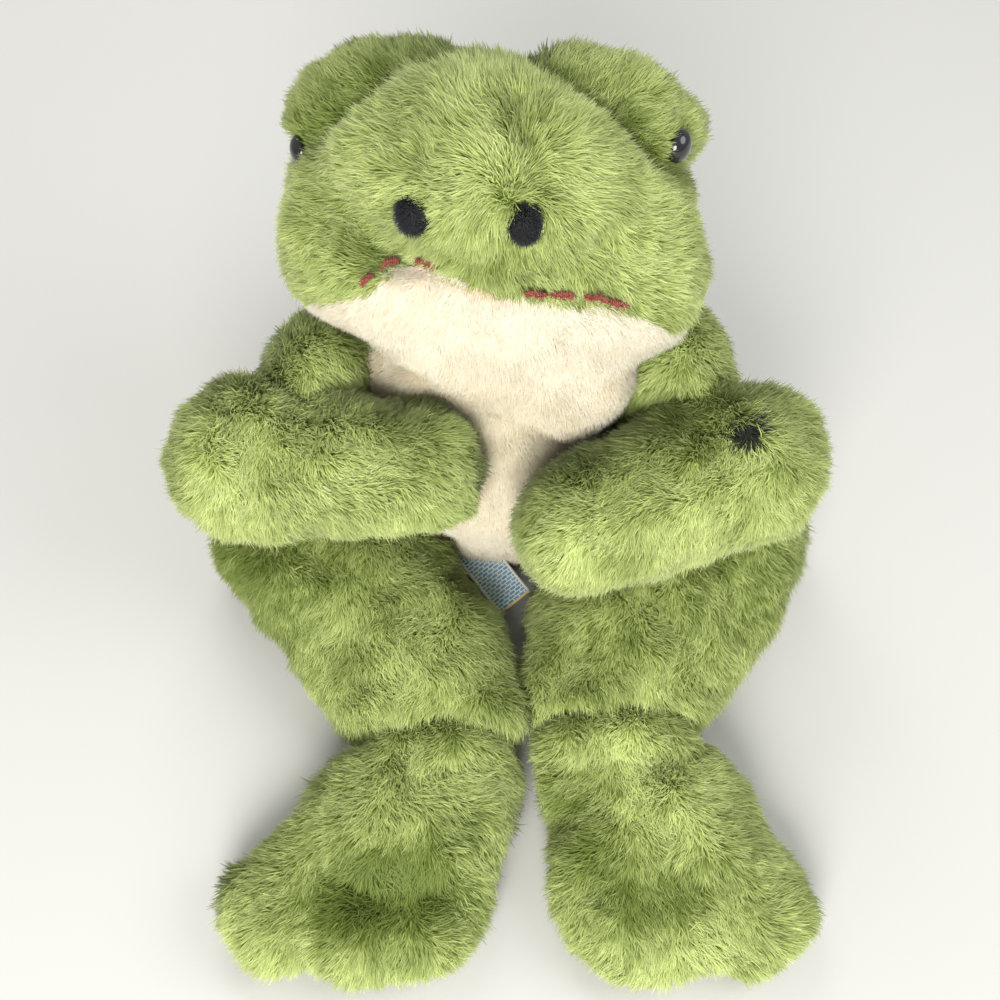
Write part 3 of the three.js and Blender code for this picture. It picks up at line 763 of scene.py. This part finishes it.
def stroke(N):
    """stroked forwards over the top, and hanging down the front: no part of it that shows stands on end"""
    s = (np.clip(-1.3 * N[:, 1], 0, 1) * (1 - np.clip(N[:, 2], 0, 1)))[:, None].astype(f32)
    return _v(0, -1, -0.1) * (1 - s) + _v(0, -0.3, -1) * s


def head_flow(P, N):
    best, off = np.full(len(P), 1e9, f32), np.zeros_like(P)
    for a, b in zip(FOLD[:-1], FOLD[1:]):
        a, b = _v(*a), _v(*b)
        ab = b - a
        t = np.clip((P - a) @ ab / float(ab @ ab), 0, 1)[:, None]
        q = P - (a + ab * t)
        d = np.linalg.norm(q, axis=1)
        m = d < best
        best[m], off[m] = d[m], q[m]
    part = np.exp(-best / 45)[:, None].astype(f32)
    return unit(off) * (0.25 + 0.6 * part) + unit(P - WHORL) * f32(0.65) + FALL * f32(0.12)


def mound_flow(P, N):
    out = _v(0.75, 0, 0) * np.sign(P[:, :1])
    return out + _v(0, 0.25, 0.45)


def chin_flow(P, N):
    return unit(P - _v(0, 46, 176)) * f32(0.5) + FALL * f32(0.7)


def limb_flow(a, b, along=0.8, falls=0.6, part=0.0):
    """the pile runs along the limb, to both ends from a place at a share of the way from a to b, and falls over the front of it"""
    a, b = _v(*a), _v(*b)
    ab = b - a
    l2 = float(ab @ ab)

    def f(P, N):
        w = np.clip(((P - a) @ ab / l2 - part) / 0.3, -0.8, 1)[:, None]
        return ab / math.sqrt(l2) * w * f32(along) + stroke(N) * f32(falls)
    return f


def foot_flow(x, half):
    """towards the toes, and out to both edges of a foot about x wide to half on each side"""
    def f(P, N):
        w = np.clip((P[:, :1] - x) / half, -1, 1)
        return _v(1, 0, 0) * w * f32(0.75) + stroke(N) * f32(0.7)
    return f


def by_whorl(P, N):
    """the pile stands up where it parts on the muzzle"""
    r = np.linalg.norm(P - WHORL, axis=1)
    return (0.86 + 0.16 * (1 - np.exp(-(r / 20) ** 2))).astype(f32)


def by_fall(low=0.62, high=1.08):
    """pile stands up on level ground and falls over on a steep side"""
    def k(P, N):
        steep = np.sqrt(np.maximum(0, 1 - N[:, 2] ** 2))
        return (low + (high - low) * steep).astype(f32)
    return k


def light_and_shade_spots(items):
    """painted light and shade: soft darker or lighter places, (centre, radius, amount)"""
    def s(P, N):
        out = np.zeros(len(P), f32)
        for c, r, a in items:
            out += a * np.exp(-((P - _v(*c)) ** 2).sum(1) / (r * r))
        return out
    return s


def side_light_top_shade(s, k=0.05):
    """painted light and shade: the pile is paler down the sides and darker on top, as the lamps light it"""
    return lambda P, N: s(P, N) + k * (0.45 - np.clip(N[:, 2], 0, 1))


def in_mouth(P):
    d = outline(P[:, 0].astype(float), P[:, 2].astype(float), MOUTH)
    return np.where(P[:, 1] < 88, d, 50.0)


def in_belly(P):
    d = outline(P[:, 0].astype(float), P[:, 2].astype(float), BELLY)
    return np.where(P[:, 1] < 60, d, 50.0)


def eye_seat(side):
    c, s, R = MOUND[side]
    d = unit(_v(*EYE_DIR[side]))
    q = d @ R
    t = 1 / float(np.sqrt(((q / _v(*s)) ** 2).sum()))
    return _v(*c) + d * f32(t), d


EYES = {s: eye_seat(s) for s in ("left", "right")}
NOSTRILS = {"left": (_v(13.6, 42.6, 187.2), 14), "right": (_v(-24.2, 47.8, 188.0), -24)}


def off_face(P, rng):
    """no pile on the eyes and nostrils"""
    ok = np.ones(len(P), bool)
    for at, d in EYES.values():
        ok &= np.linalg.norm(P - (at + d * 2 + (_v(0.5, 0, -1.8) if at[0] > 0 else 0)), axis=1) > (6.3 if at[0] > 0 else 8.0)
    for c, a in NOSTRILS.values():
        q = (P - c) @ rot("z", a)
        ok &= (q[:, 0] / 3.9) ** 2 + (q[:, 2] / 5.6) ** 2 + (q[:, 1] / 12) ** 2 > 1
    return ok


def by_eyes(P):
    """shorter pile round the eyes"""
    k = np.ones(len(P))
    for at, d in EYES.values():
        k = k - 0.35 * np.exp(-((P - at) ** 2).sum(1) / 160)
    for at, _ in NOSTRILS.values():
        k = k - 0.35 * np.exp(-((P - at) ** 2).sum(1) / 90)
    return k


def frog():
    # ---- distances of all parts ------------------------------------------------------------------
    ALL["body"] = torso
    ALL["head"] = head
    ALL["neck"] = neck
    for s in ("left", "right"):
        ALL[f"{s}_eye_mound"] = mound(s)
        ALL[f"{s}_arm"] = arm(s)
        ALL[f"{s}_leg"] = leg(s)
        ALL[f"{s}_foot"] = foot(s)

    # ---- body --------------------------------------------------------------------------------
    lo, hi = (-66, 0, -4), (72, 116, 122)
    V, F, _ = skin("body_skin", torso, lo, hi, BACK_GREEN, "body", ["body_cover", "body_stuffing"])
    panel = lambda P: smax(smax(torso(P) - 0.7, -(torso(P) + 2.2), 0.5), np.where(P[..., 1] < 62, outline(P[..., 0], P[..., 2], BELLY), 20).astype(f32), 1)
    skin("belly_skin", panel, (-42, -2, 8), (46, 66, 124), BACK_CREAM, "body", ["belly_panel"], h=1.5)
    grow_pile("body", torso, V, F, "body", down, 100, keep=lambda P, r: in_belly(P) > -0.5, density=2.8, width=0.8, guard=0.12, along=2)
    # painted shade: the belly's cream darkens upwards, towards the shade under the chin and arms
    grow_pile("belly", torso, V, F, "body", down, 120, keep=lambda P, r: (in_belly(P) <= -0.5), density=5.5, length=5.0, width=0.5,
              lean=34, mat=CREAM, clump=(5, 0.05, 0.4), spread=0.2, guard=0, shade=lambda P, N: 0.10 - 0.42 * np.clip((P[:, 2] - 30) / 40, 0, 1))

    # ---- neck ---------------------------------------------------------------------------------
    V, F, _ = skin("neck_skin", neck, (-26, 46, 78), (32, 106, 138), BACK_GREEN, "neck", ["neck_stuffing", "neck_tie_thread"])

    # ---- head ---------------------------------------------------------------------------------
    lo, hi = (-88, 30, 88), (90, 148, 222)
    V, F, _ = skin("head_skin", head, lo, hi, BACK_GREEN, "head", ["head_cover", "head_stuffing"])
    chin = lambda P: smax(smax(head(P) - 0.7, -(head(P) + 2.2), 0.5), np.where(P[..., 1] < 88, outline(P[..., 0], P[..., 2], MOUTH), 20).astype(f32), 1)
    skin("chin_skin", chin, (-78, 28, 82), (80, 92, 170), BACK_CREAM, "head", ["chin_panel"], h=1.5)
    # painted shade and light: the pile darkens in the valley beside each mound and along the brow fold, and darkens or
    # lightens at the given places over the head's dents and the muzzle
    valley = lambda P: -0.36 * np.exp(-((mounds(P) - 1) / 6.0) ** 2) - 0.26 * np.exp(-(near_line(P, FOLD) / 3.6) ** 2)
    head_light_and_shade = light_and_shade_spots([((-41, 57, 172), 9, -0.22), ((-37, 51, 165), 7, -0.2), ((-12, 62, 208), 18, 0.08), ((-52, 62, 176), 10, -0.14), ((15, 62, 211), 8, -0.16), ((16, 48, 199), 7, -0.16),
                  ((0, 46, 182), 24, -0.10), ((-2, 45, 170), 12, -0.08)])
    grow_pile("head", head, V, F, "head", head_flow, 200, keep=lambda P, r: (in_mouth(P) > -1.2) & off_face(P, r), density=4.2, along=0,
              lean_by=by_whorl, shade=lambda P, N: head_light_and_shade(P, N) + valley(P), len_by=lambda P: np.where(np.abs(in_mouth(P)) < 5, 0.75, 1.0) * by_eyes(P) * (1 - 0.3 * np.exp(-(near_line(P, FOLD) / 4) ** 2)))
    # painted shade: the cream of the chin darkens downwards, where it curves under towards the throat
    grow_pile("chin", head, V, F, "head", chin_flow, 220, keep=lambda P, r: in_mouth(P) <= 0.2, density=5.8, length=5.6, width=0.48, lean=36,
              mat=CREAM, clump=(5, 0.05, 0.4), spread=0.2, guard=0, back=0.4,
              shade=lambda P, N: -0.42 * np.clip((140 - P[:, 2]) / 34, 0, 1) + 0.16, len_by=lambda P: 1 + 0.25 * np.exp(-((in_mouth(P) / 4) ** 2)),
              stain=lambda P: 0.5 * np.exp(-((P - _v(2, 42, 158)) ** 2).sum(1) / 90) + 0.3 * np.exp(-((P - _v(-20, 47, 161)) ** 2).sum(1) / 20))
    for s in ("left", "right"):
        c = MOUND[s][0]
        lo, hi = [c[0] - 46, c[1] - 34, c[2] - 34], [c[0] + 46, c[1] + 34, c[2] + 34]
        V, F, _ = skin(f"{s}_eye_mound_skin", mound(s), lo, hi, BACK_GREEN, "head", [f"{s}_eye_mound_cover", f"{s}_eye_mound_stuffing"], h=1.8)
        # painted shade: each mound's pile darkens where it meets the skull, and the whole mound is darker, the right
        # one more
        grow_pile(f"{s}_eye_mound", mound(s), V, F, "head", mound_flow, 240 if s == "left" else 260, keep=lambda P, r: off_face(P, r), density=4.2, lean=38,
                  hide=4.0, shade=lambda P, N: -0.28 * np.exp(-(skull(P) / 9) ** 2) - (0.03 if P[0, 0] > 0 else 0.11), len_by=by_eyes)

    # ---- arms ---------------------------------------------------------------------------------
    stain = lambda P: np.exp(-(((P - _v(98.3, 12.8, 108)) / _v(5.6, 5.6, 14)) ** 2).sum(1) * 1.0) * 1.2
    for s in ("left", "right"):
        lo, hi = ((36 - 30, -36, 40), (140, 90, 125)) if s == "left" else ((-132, -26, 44), (4, 86, 120))
        V, F, _ = skin(f"{s}_arm_skin", arm(s), lo, hi, BACK_GREEN, f"{s}_arm", [f"{s}_arm_cover", f"{s}_arm_stuffing"])
        # painted shade and light: darker over the tops of the arms and the shoulders, under the head, and lighter over
        # the top of the right arm
        top = light_and_shade_spots([((82, 17, 108), 20, -0.12), ((60, 14, 101), 16, -0.16), ((74, 55, 96), 26, -0.16), ((78, 30, 106), 12, -0.16)]) if s == "left" else light_and_shade_spots([((-80, 26, 106), 18, 0.05), ((-60, 30, 104), 18, 0.24), ((-70, 60, 98), 28, -0.14)])
        grow_pile(f"{s}_arm", arm(s), V, F, f"{s}_arm", limb_flow(ELBOW[s], PAW[s], 0.85, 0.55), 300 if s == "left" else 330,
                  density=3.8, lean_by=by_fall(0.92), shade=side_light_top_shade(top), stain=stain if s == "left" else None,
                  len_by=None if s == "left" else (lambda P: 1 - 0.35 * np.clip((82 - P[:, 2]) / 10, 0, 1) * np.clip((P[:, 0] + 70) / 20, 0, 1)))

    # ---- legs and feet ------------------------------------------------------------------------
    for s in ("left", "right"):
        lo, hi = ((8, -74, -4), (142, 70, 60)) if s == "left" else ((-120, -80, -4), (12, 68, 60))
        V, F, _ = skin(f"{s}_leg_skin", leg(s), lo, hi, BACK_GREEN, f"{s}_leg", [f"{s}_leg_cover", f"{s}_leg_stuffing"])
        # painted shade and light: the legs darken down their outer sides and along the ankle creases, with one lighter
        # place on the right leg
        light_shade_and_tone = (light_and_shade_spots([((45, -42, 34), 14, -0.22), ((62, -40, 37), 10, -0.14), ((108, -8, 28), 38, -0.28), ((34, -62, 30), 8, -0.2), ((50, -66, 31), 8, -0.2)]) if s == "left"
                else light_and_shade_spots([((-98, -12, 20), 44, -0.40), ((-27, -42, 36), 20, 0.24), ((-45, -66, 22), 8, -0.2), ((-30, -70, 28), 8, -0.24), ((-14, -70, 28), 8, -0.24), ((0, -68, 24), 8, -0.2)]))
        grow_pile(f"{s}_leg", leg(s), V, F, f"{s}_leg", limb_flow((91, 19, 24) if s == "left" else (-71, 17, 23), (52, -53, 16) if s == "left" else (-21, -62, 15), 0.45, 0.9), 400 if s == "left" else 430,
                  density=3.5, lean_by=by_fall(0.92), shade=side_light_top_shade(light_shade_and_tone), along=1)
        lo, hi = ((8, -166, -4), (126, -54, 44)) if s == "left" else ((-104, -166, -4), (16, -58, 44))
        V, F, _ = skin(f"{s}_foot_skin", foot(s), lo, hi, BACK_GREEN, f"{s}_foot", [f"{s}_foot_top", f"{s}_foot_sole", f"{s}_foot_stuffing"])
        # painted shade and light: the feet darken in their hollows and at the ankle, and lighten along their raised
        # ridges and tops
        light_shade_and_tone = (light_and_shade_spots([((31, -100, 26), 13, -0.46), ((43, -124, 26), 13, -0.46), ((58, -139, 25), 12, -0.46), ((75, -134, 25), 10, -0.34), ((56, -84, 32), 12, 0.30), ((64, -97, 31), 12, 0.34), ((76, -113, 28), 10, 0.24), ((34, -72, 30), 9, -0.16)]) if s == "left"
                else light_and_shade_spots([((-30, -133, 20), 18, -0.80), ((-48, -135, 20), 16, -0.75), ((-18, -86, 26), 10, -0.08), ((-46, -108, 28), 14, 0.16), ((-22, -106, 29), 12, 0.12)]))
        grow_pile(f"{s}_foot", foot(s), V, F, f"{s}_foot", foot_flow(64 if s == "left" else -36, 36), 500 if s == "left" else 530,
                  density=3.8, lean_by=by_fall(0.92), shade=side_light_top_shade(light_shade_and_tone), along=1,
                  len_by=lambda P, y=ANKLE[s][0][1]: 1 - 0.42 * np.clip((P[:, 1] - y + 6) / 10, 0, 1))


# =================================================================================================
# eyes, nostrils, stitches, label
# =================================================================================================
def lathe(points, at, axis, sides=40):
    """a turned shape: points are (radius, height) along axis from at"""
    d = unit(_v(*axis))
    s = unit(np.cross(d, _v(0.1, 0.2, 1)))
    q = np.cross(d, s)
    V, F = [], []
    for r, h in points:
        for k in range(sides):
            t = 2 * math.pi * k / sides
            V.append(at + d * h + (s * math.cos(t) + q * math.sin(t)) * max(r, 1e-3))
    n = len(points)
    for i in range(n - 1):
        for k in range(sides):
            a, b = i * sides + k, i * sides + (k + 1) % sides
            F.append([a, b, b + sides]); F.append([a, b + sides, a + sides])
    V = np.array(V, f32)
    lowc, topc = len(V), len(V) + 1
    V = np.concatenate([V, [at + d * points[0][1]], [at + d * points[-1][1]]]).astype(f32)
    for k in range(sides):
        F.append([lowc, (k + 1) % sides, k])
        F.append([topc, (n - 1) * sides + k, (n - 1) * sides + (k + 1) % sides])
    F = np.array(F, np.int32)
    a, b, c = (V[F[:, i]].astype(float) - at for i in range(3))
    if np.einsum("ij,ij->i", a, np.cross(b, c)).sum() < 0:
        F = F[:, ::-1].copy()
    return V, F


def eyes():
    mat = bpy.data.materials.new("eye_plastic")
    nt, p = nodes_of(mat)
    co = add(nt, "ShaderNodeTexCoord")
    n = add(nt, "ShaderNodeTexNoise")
    n.inputs["Scale"].default_value = 220.0
    nt.links.new(co.outputs["Object"], n.inputs["Vector"])
    cr = ramp(nt, [(0.35, (0.004, 0.004, 0.005)), (0.7, (0.012, 0.012, 0.015))])
    nt.links.new(n.outputs["Fac"], cr.inputs["Fac"])
    nt.links.new(cr.outputs["Color"], p.inputs["Base Color"])
    rr = ramp(nt, [(0.3, (0.10, 0.10, 0.10)), (0.8, (0.17, 0.17, 0.17))])
    nt.links.new(n.outputs["Fac"], rr.inputs["Fac"])
    nt.links.new(rr.outputs["Color"], p.inputs["Roughness"])
    p.inputs["Coat Weight"].default_value = 0.6
    p.inputs["Coat Roughness"].default_value = 0.05
    for s in ("left", "right"):
        at, d = EYES[s]
        prof = [(1.5, -9.5), (1.5, 0.2), (6.2, 0.2), (6.5, 0.7), (6.55, 1.3)] + [(6.55 * math.cos(t), 1.3 + 5.0 * math.sin(t)) for t in np.linspace(0.12, 1.5, 12)]
        V, F = lathe(prof, at, d)
        ob = mesh_object(f"{s}_eye_dome", V, F, mat)
        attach(ob, "head")
        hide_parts(f"{s}_eye")


def nostrils():
    for s in ("left", "right"):
        c, a = NOSTRILS[s]
        q = c[None]
        for _ in range(4):
            q = q - slope(head, q) * head(q)[:, None]
        c = (q + slope(head, q) * 1.6)[0].astype(f32)
        R = rot("z", a)
        pad = lambda P: egg(P, tuple(c.tolist()), (3.9, 3.6, 5.8), R)
        V, F, _ = skin(f"{s}_nostril_skin", pad, c - 9, c + 9, BACK_BLACK, "head", [f"{s}_nostril"], h=0.8)
        rng = np.random.default_rng(700 if s == "left" else 710)
        P, _ = scatter(V, F, 9.0, rng)
        N = slope(pad, P)
        ok = head(P) > -1.0
        P, N = P[ok], N[ok]
        n = len(P)
        T = tangent(rng.normal(0, 0.8, P.shape).astype(f32) + _v(0.2, 0, -0.3), N)
        L = rng.uniform(2.6, 4.6, n).astype(f32)
        u = np.clip(0.5 + 0.25 * rng.normal(0, 1, n), 0.02, 0.88).astype(f32)
        g = tufts(P, N, T, L, rng.uniform(0.25, 0.4, n).astype(f32), np.radians(rng.uniform(5, 30, n)).astype(f32), np.radians(rng.uniform(20, 70, n)).astype(f32), u, rng)
        emit(f"{s}_nostril_pile", [g], BLACK_PILE, "head")


def tube(points, r, sides=8, twist=0.0, ply=0.0):
    pts = np.array(points, float)
    t = np.gradient(pts, axis=0)
    t /= np.linalg.norm(t, axis=1, keepdims=True)
    up = np.array([0.1, -1, 0.3])
    V, F = [], []
    for i, (p, d) in enumerate(zip(pts, t)):
        s = np.cross(d, up); s /= np.linalg.norm(s)
        q = np.cross(s, d)
        e = r * min(1.0, 0.35 + 1.3 * min(i, len(pts) - 1 - i) / max(1, len(pts) * 0.25))
        for k in range(sides):
            a = 2 * math.pi * k / sides
            rr = e * (1 + ply * math.cos(2 * a + twist * i))
            V.append(p + (s * math.cos(a) + q * math.sin(a)) * rr)
    n = len(pts)
    for i in range(n - 1):
        for k in range(sides):
            a, b = i * sides + k, i * sides + (k + 1) % sides
            F.append([a, b, b + sides]); F.append([a, b + sides, a + sides])
    V += [pts[0], pts[-1]]
    c0, c1 = len(V) - 2, len(V) - 1
    for k in range(sides):
        F.append([c0, (k + 1) % sides, k])
        F.append([c1, (n - 1) * sides + k, (n - 1) * sides + (k + 1) % sides])
    V, F = np.array(V), np.array(F, np.int32)
    m = V.mean(0)
    a, b, c = (V[F[:, i]] - m for i in range(3))
    if np.einsum("ij,ij->i", a, np.cross(b, c)).sum() < 0:
        F = F[:, ::-1].copy()
    return V, F


def merge(list_of):
    Vs, Fs, off = [], [], 0
    for V, F in list_of:
        Vs.append(V); Fs.append(F + off); off += len(V)
    return np.concatenate(Vs), np.concatenate(Fs)


def thread_material(name, a, b):
    mat = bpy.data.materials.new(name)
    nt, p = nodes_of(mat)
    co = add(nt, "ShaderNodeTexCoord")
    w = add(nt, "ShaderNodeTexWave")
    w.inputs["Scale"].default_value = 420.0
    w.inputs["Distortion"].default_value = 2.0
    nt.links.new(co.outputs["Object"], w.inputs["Vector"])
    cr = ramp(nt, [(0.2, a), (0.8, b)])
    nt.links.new(w.outputs["Fac"], cr.inputs["Fac"])
    nt.links.new(cr.outputs["Color"], p.inputs["Base Color"])
    p.inputs["Roughness"].default_value = 0.6
    p.inputs["Sheen Weight"].default_value = 0.2
    return mat


def stitches():
    mat = thread_material("mouth_thread", (0.19, 0.03, 0.016), (0.42, 0.065, 0.045))
    runs = {
        "right": [[(-40.5, 50.6, 151.0), (-37.5, 50.6, 152.3)], [(-35.0, 50.6, 153.2),(-32.0, 50.4, 154.2), (-29.5, 50.2, 155.2)], [(-24, 49.3, 158.2), (-20, 48.8, 158.4), (-16.2, 48.0, 157.6)]],
        "left": [[(13, 41.0, 154.6), (18, 42.0, 154.4), (21, 42.8, 153.6)], [(22, 42.8, 153.9), (26, 43.0, 153.5), (30, 43.7, 152.4)], [(33, 44.1, 152.3), (38, 44.9, 151.0), (43, 45.3, 149.2)], [(42, 45.3, 149.0), (49, 45.0, 147.6)]],
    }
    for s, list_of in runs.items():
        bits = []
        for i, pts in enumerate(list_of):
            pts = np.array(pts, float)
            rng = np.random.default_rng(900 + i + (20 if s == "left" else 0))
            n = 26
            t = np.linspace(0, len(pts) - 1, n)
            P = np.stack([np.interp(t, np.arange(len(pts)), pts[:, k]) for k in range(3)], 1).astype(f32)
            for _ in range(3):
                P = P - slope(head, P) * head(P)[:, None]
            N = slope(head, P)
            ends = np.sin(np.linspace(0, math.pi, n))
            keep = []
            for ply in range(6):
                ph = rng.uniform(0, 6)
                w = np.linspace(0, 9 * len(pts), n) * 0.5 + ph
                lift = 4.0 + 2.4 * np.minimum(1, 2.2 * ends) + 0.35 * np.sin(w)
                side = (1.3 if s == "left" else 0.8) * np.cos(w * 0.6 + 1.7 * ply) * (0.4 + 0.6 * ends) + rng.normal(0, 0.2, n) 
                Q = P + N * lift[:, None].astype(f32)
                Q[:, 2] += side
                bits.append(tube(Q, 0.24, 5))
                keep.append(Q)
            # loose fibres worn out of the thread
            for k in range(110):
                j = rng.integers(1, n - 2)
                Q = keep[k % len(keep)]
                p0 = Q[j].astype(float) + rng.normal(0, 0.15, 3)
                along = (Q[j + 1] - Q[j - 1]).astype(float)
                d = along / np.linalg.norm(along) * rng.choice([-1, 1]) + rng.normal(0, 0.6, 3)
                d /= np.linalg.norm(d)
                bend = rng.normal(0, 0.45, 3)
                ln = rng.uniform(1.0, 2.6)
                bits.append(tube([p0, p0 + d * ln * 0.4, p0 + d * ln * 0.75 + bend * 0.5, p0 + d * ln + bend], 0.11, 3))
        V, F = merge(bits)
        ob = mesh_object(f"{s}_mouth_stitches", V, F, mat)
        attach(ob, "head")
        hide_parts(f"{s}_mouth_thread")


def label():
    """a woven ribbon, sewn into the seat seam at its back end and curling a little at its free corner"""
    w, l, t = 17.0, 34.0, 0.35
    nx, ny = 18, 36
    ca, sa = math.cos(rad(38)), math.sin(rad(38))
    cx, sx = math.cos(rad(17)), math.sin(rad(17))
    top = np.zeros((nx, ny, 3))
    for i in range(nx):
        for j in range(ny):
            x = (i / (nx - 1) - 0.5) * w
            y = (j / (ny - 1) - 0.5) * l - 0.6
            z = 0.5 * math.sin(y / 6.0) + 1.2 * max(0, -(y + 8) / 9) ** 2 * (0.4 + i / nx)
            X, Y = x * ca - y * sa, x * sa + y * ca
            Y, Z = Y * cx - z * sx, Y * sx + z * cx
            top[i, j] = (X + 1.0, Y + 3.4, Z + 16.3)
    low = top.copy()
    low[..., 2] -= t
    V = np.concatenate([top.reshape(-1, 3), low.reshape(-1, 3)])
    n = nx * ny
    idx = np.arange(n).reshape(nx, ny)
    F = []
    for i in range(nx - 1):
        for j in range(ny - 1):
            a, b, c, d = idx[i, j], idx[i + 1, j], idx[i + 1, j + 1], idx[i, j + 1]
            F += [[a, b, c], [a, c, d], [a + n, c + n, b + n], [a + n, d + n, c + n]]
    ring = [idx[i, 0] for i in range(nx)] + [idx[nx - 1, j] for j in range(1, ny)] + [idx[i, ny - 1] for i in range(nx - 2, -1, -1)] + [idx[0, j] for j in range(ny - 2, 0, -1)]
    for a, b in zip(ring, ring[1:] + ring[:1]):
        F += [[a, a + n, b + n], [a, b + n, b]]
    uvt = np.stack(np.meshgrid(np.linspace(0.02, 0.98, nx), np.linspace(0.02, 0.98, ny), indexing="ij"), -1).reshape(-1, 2)
    mat = bpy.data.materials.new("ribbon")
    nt, p = nodes_of(mat)
    uv = add(nt, "ShaderNodeUVMap", uv_map="OFBake")
    mp = add(nt, "ShaderNodeMapping")
    mp.inputs["Scale"].default_value = (17.0, 34.0, 1.0)
    nt.links.new(uv.outputs["UV"], mp.inputs["Vector"])
    brick = add(nt, "ShaderNodeTexBrick")
    brick.offset = 0.5
    brick.inputs["Scale"].default_value = 0.55
    brick.inputs["Mortar Size"].default_value = 0.12
    brick.inputs["Brick Width"].default_value = 1.6
    brick.inputs["Row Height"].default_value = 0.8
    brick.inputs["Color1"].default_value = (*lin(96, 140, 172), 1)
    brick.inputs["Color2"].default_value = (*lin(126, 164, 188), 1)
    brick.inputs["Mortar"].default_value = (*lin(222, 226, 222), 1)
    nt.links.new(mp.outputs["Vector"], brick.inputs["Vector"])
    sep = add(nt, "ShaderNodeSeparateXYZ")
    nt.links.new(uv.outputs["UV"], sep.inputs[0])
    edge = ramp(nt, [(0.0, (1, 1, 1)), (0.07, (1, 1, 1)), (0.10, (0, 0, 0)), (0.90, (0, 0, 0)), (0.93, (1, 1, 1))])
    nt.links.new(sep.outputs["X"], edge.inputs["Fac"])
    end = ramp(nt, [(0.0, (1, 1, 1)), (0.035, (1, 1, 1)), (0.05, (0, 0, 0))])
    nt.links.new(sep.outputs["Y"], end.inputs["Fac"])
    m0 = add(nt, "ShaderNodeMix", data_type="RGBA")
    nt.links.new(edge.outputs["Color"], m0.inputs["Factor"])
    nt.links.new(brick.outputs["Color"], m0.inputs[6])
    m0.inputs[7].default_value = (*lin(232, 232, 224), 1)
    m1 = add(nt, "ShaderNodeMix", data_type="RGBA")
    nt.links.new(end.outputs["Color"], m1.inputs["Factor"])
    nt.links.new(m0.outputs[2], m1.inputs[6])
    m1.inputs[7].default_value = (*lin(196, 164, 72), 1)
    nt.links.new(m1.outputs[2], p.inputs["Base Color"])
    p.inputs["Roughness"].default_value = 0.55
    ob = mesh_object("label_ribbon", V, np.array(F, np.int32), mat, uv=np.concatenate([uvt, uvt]))
    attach(ob, "body")
    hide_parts("sewn_label")


def carried():
    """CAD nodes that stay: washers inside the mounds and the closing seam up the back"""
    mat = bpy.data.materials.new("washer_plastic")
    nt, p = nodes_of(mat)
    n = add(nt, "ShaderNodeTexNoise")
    n.inputs["Scale"].default_value = 300.0
    cr = ramp(nt, [(0.3, (0.72, 0.72, 0.69)), (0.7, (0.82, 0.82, 0.79))])
    nt.links.new(n.outputs["Fac"], cr.inputs["Fac"])
    nt.links.new(cr.outputs["Color"], p.inputs["Base Color"])
    p.inputs["Roughness"].default_value = 0.5
    for s in ("left", "right"):
        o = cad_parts[f"{s}_eye_washer"]
        o.data.materials.clear()
        o.data.materials.append(mat)
    seam = thread_material("sewing_thread", (0.05, 0.08, 0.015), (0.14, 0.19, 0.05))
    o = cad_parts["closing_seam_thread"]
    o.data.materials.clear()
    o.data.materials.append(seam)


frog()
eyes()
nostrils()
stitches()
label()
carried()

print("pile triangles", TALLY["tris"])
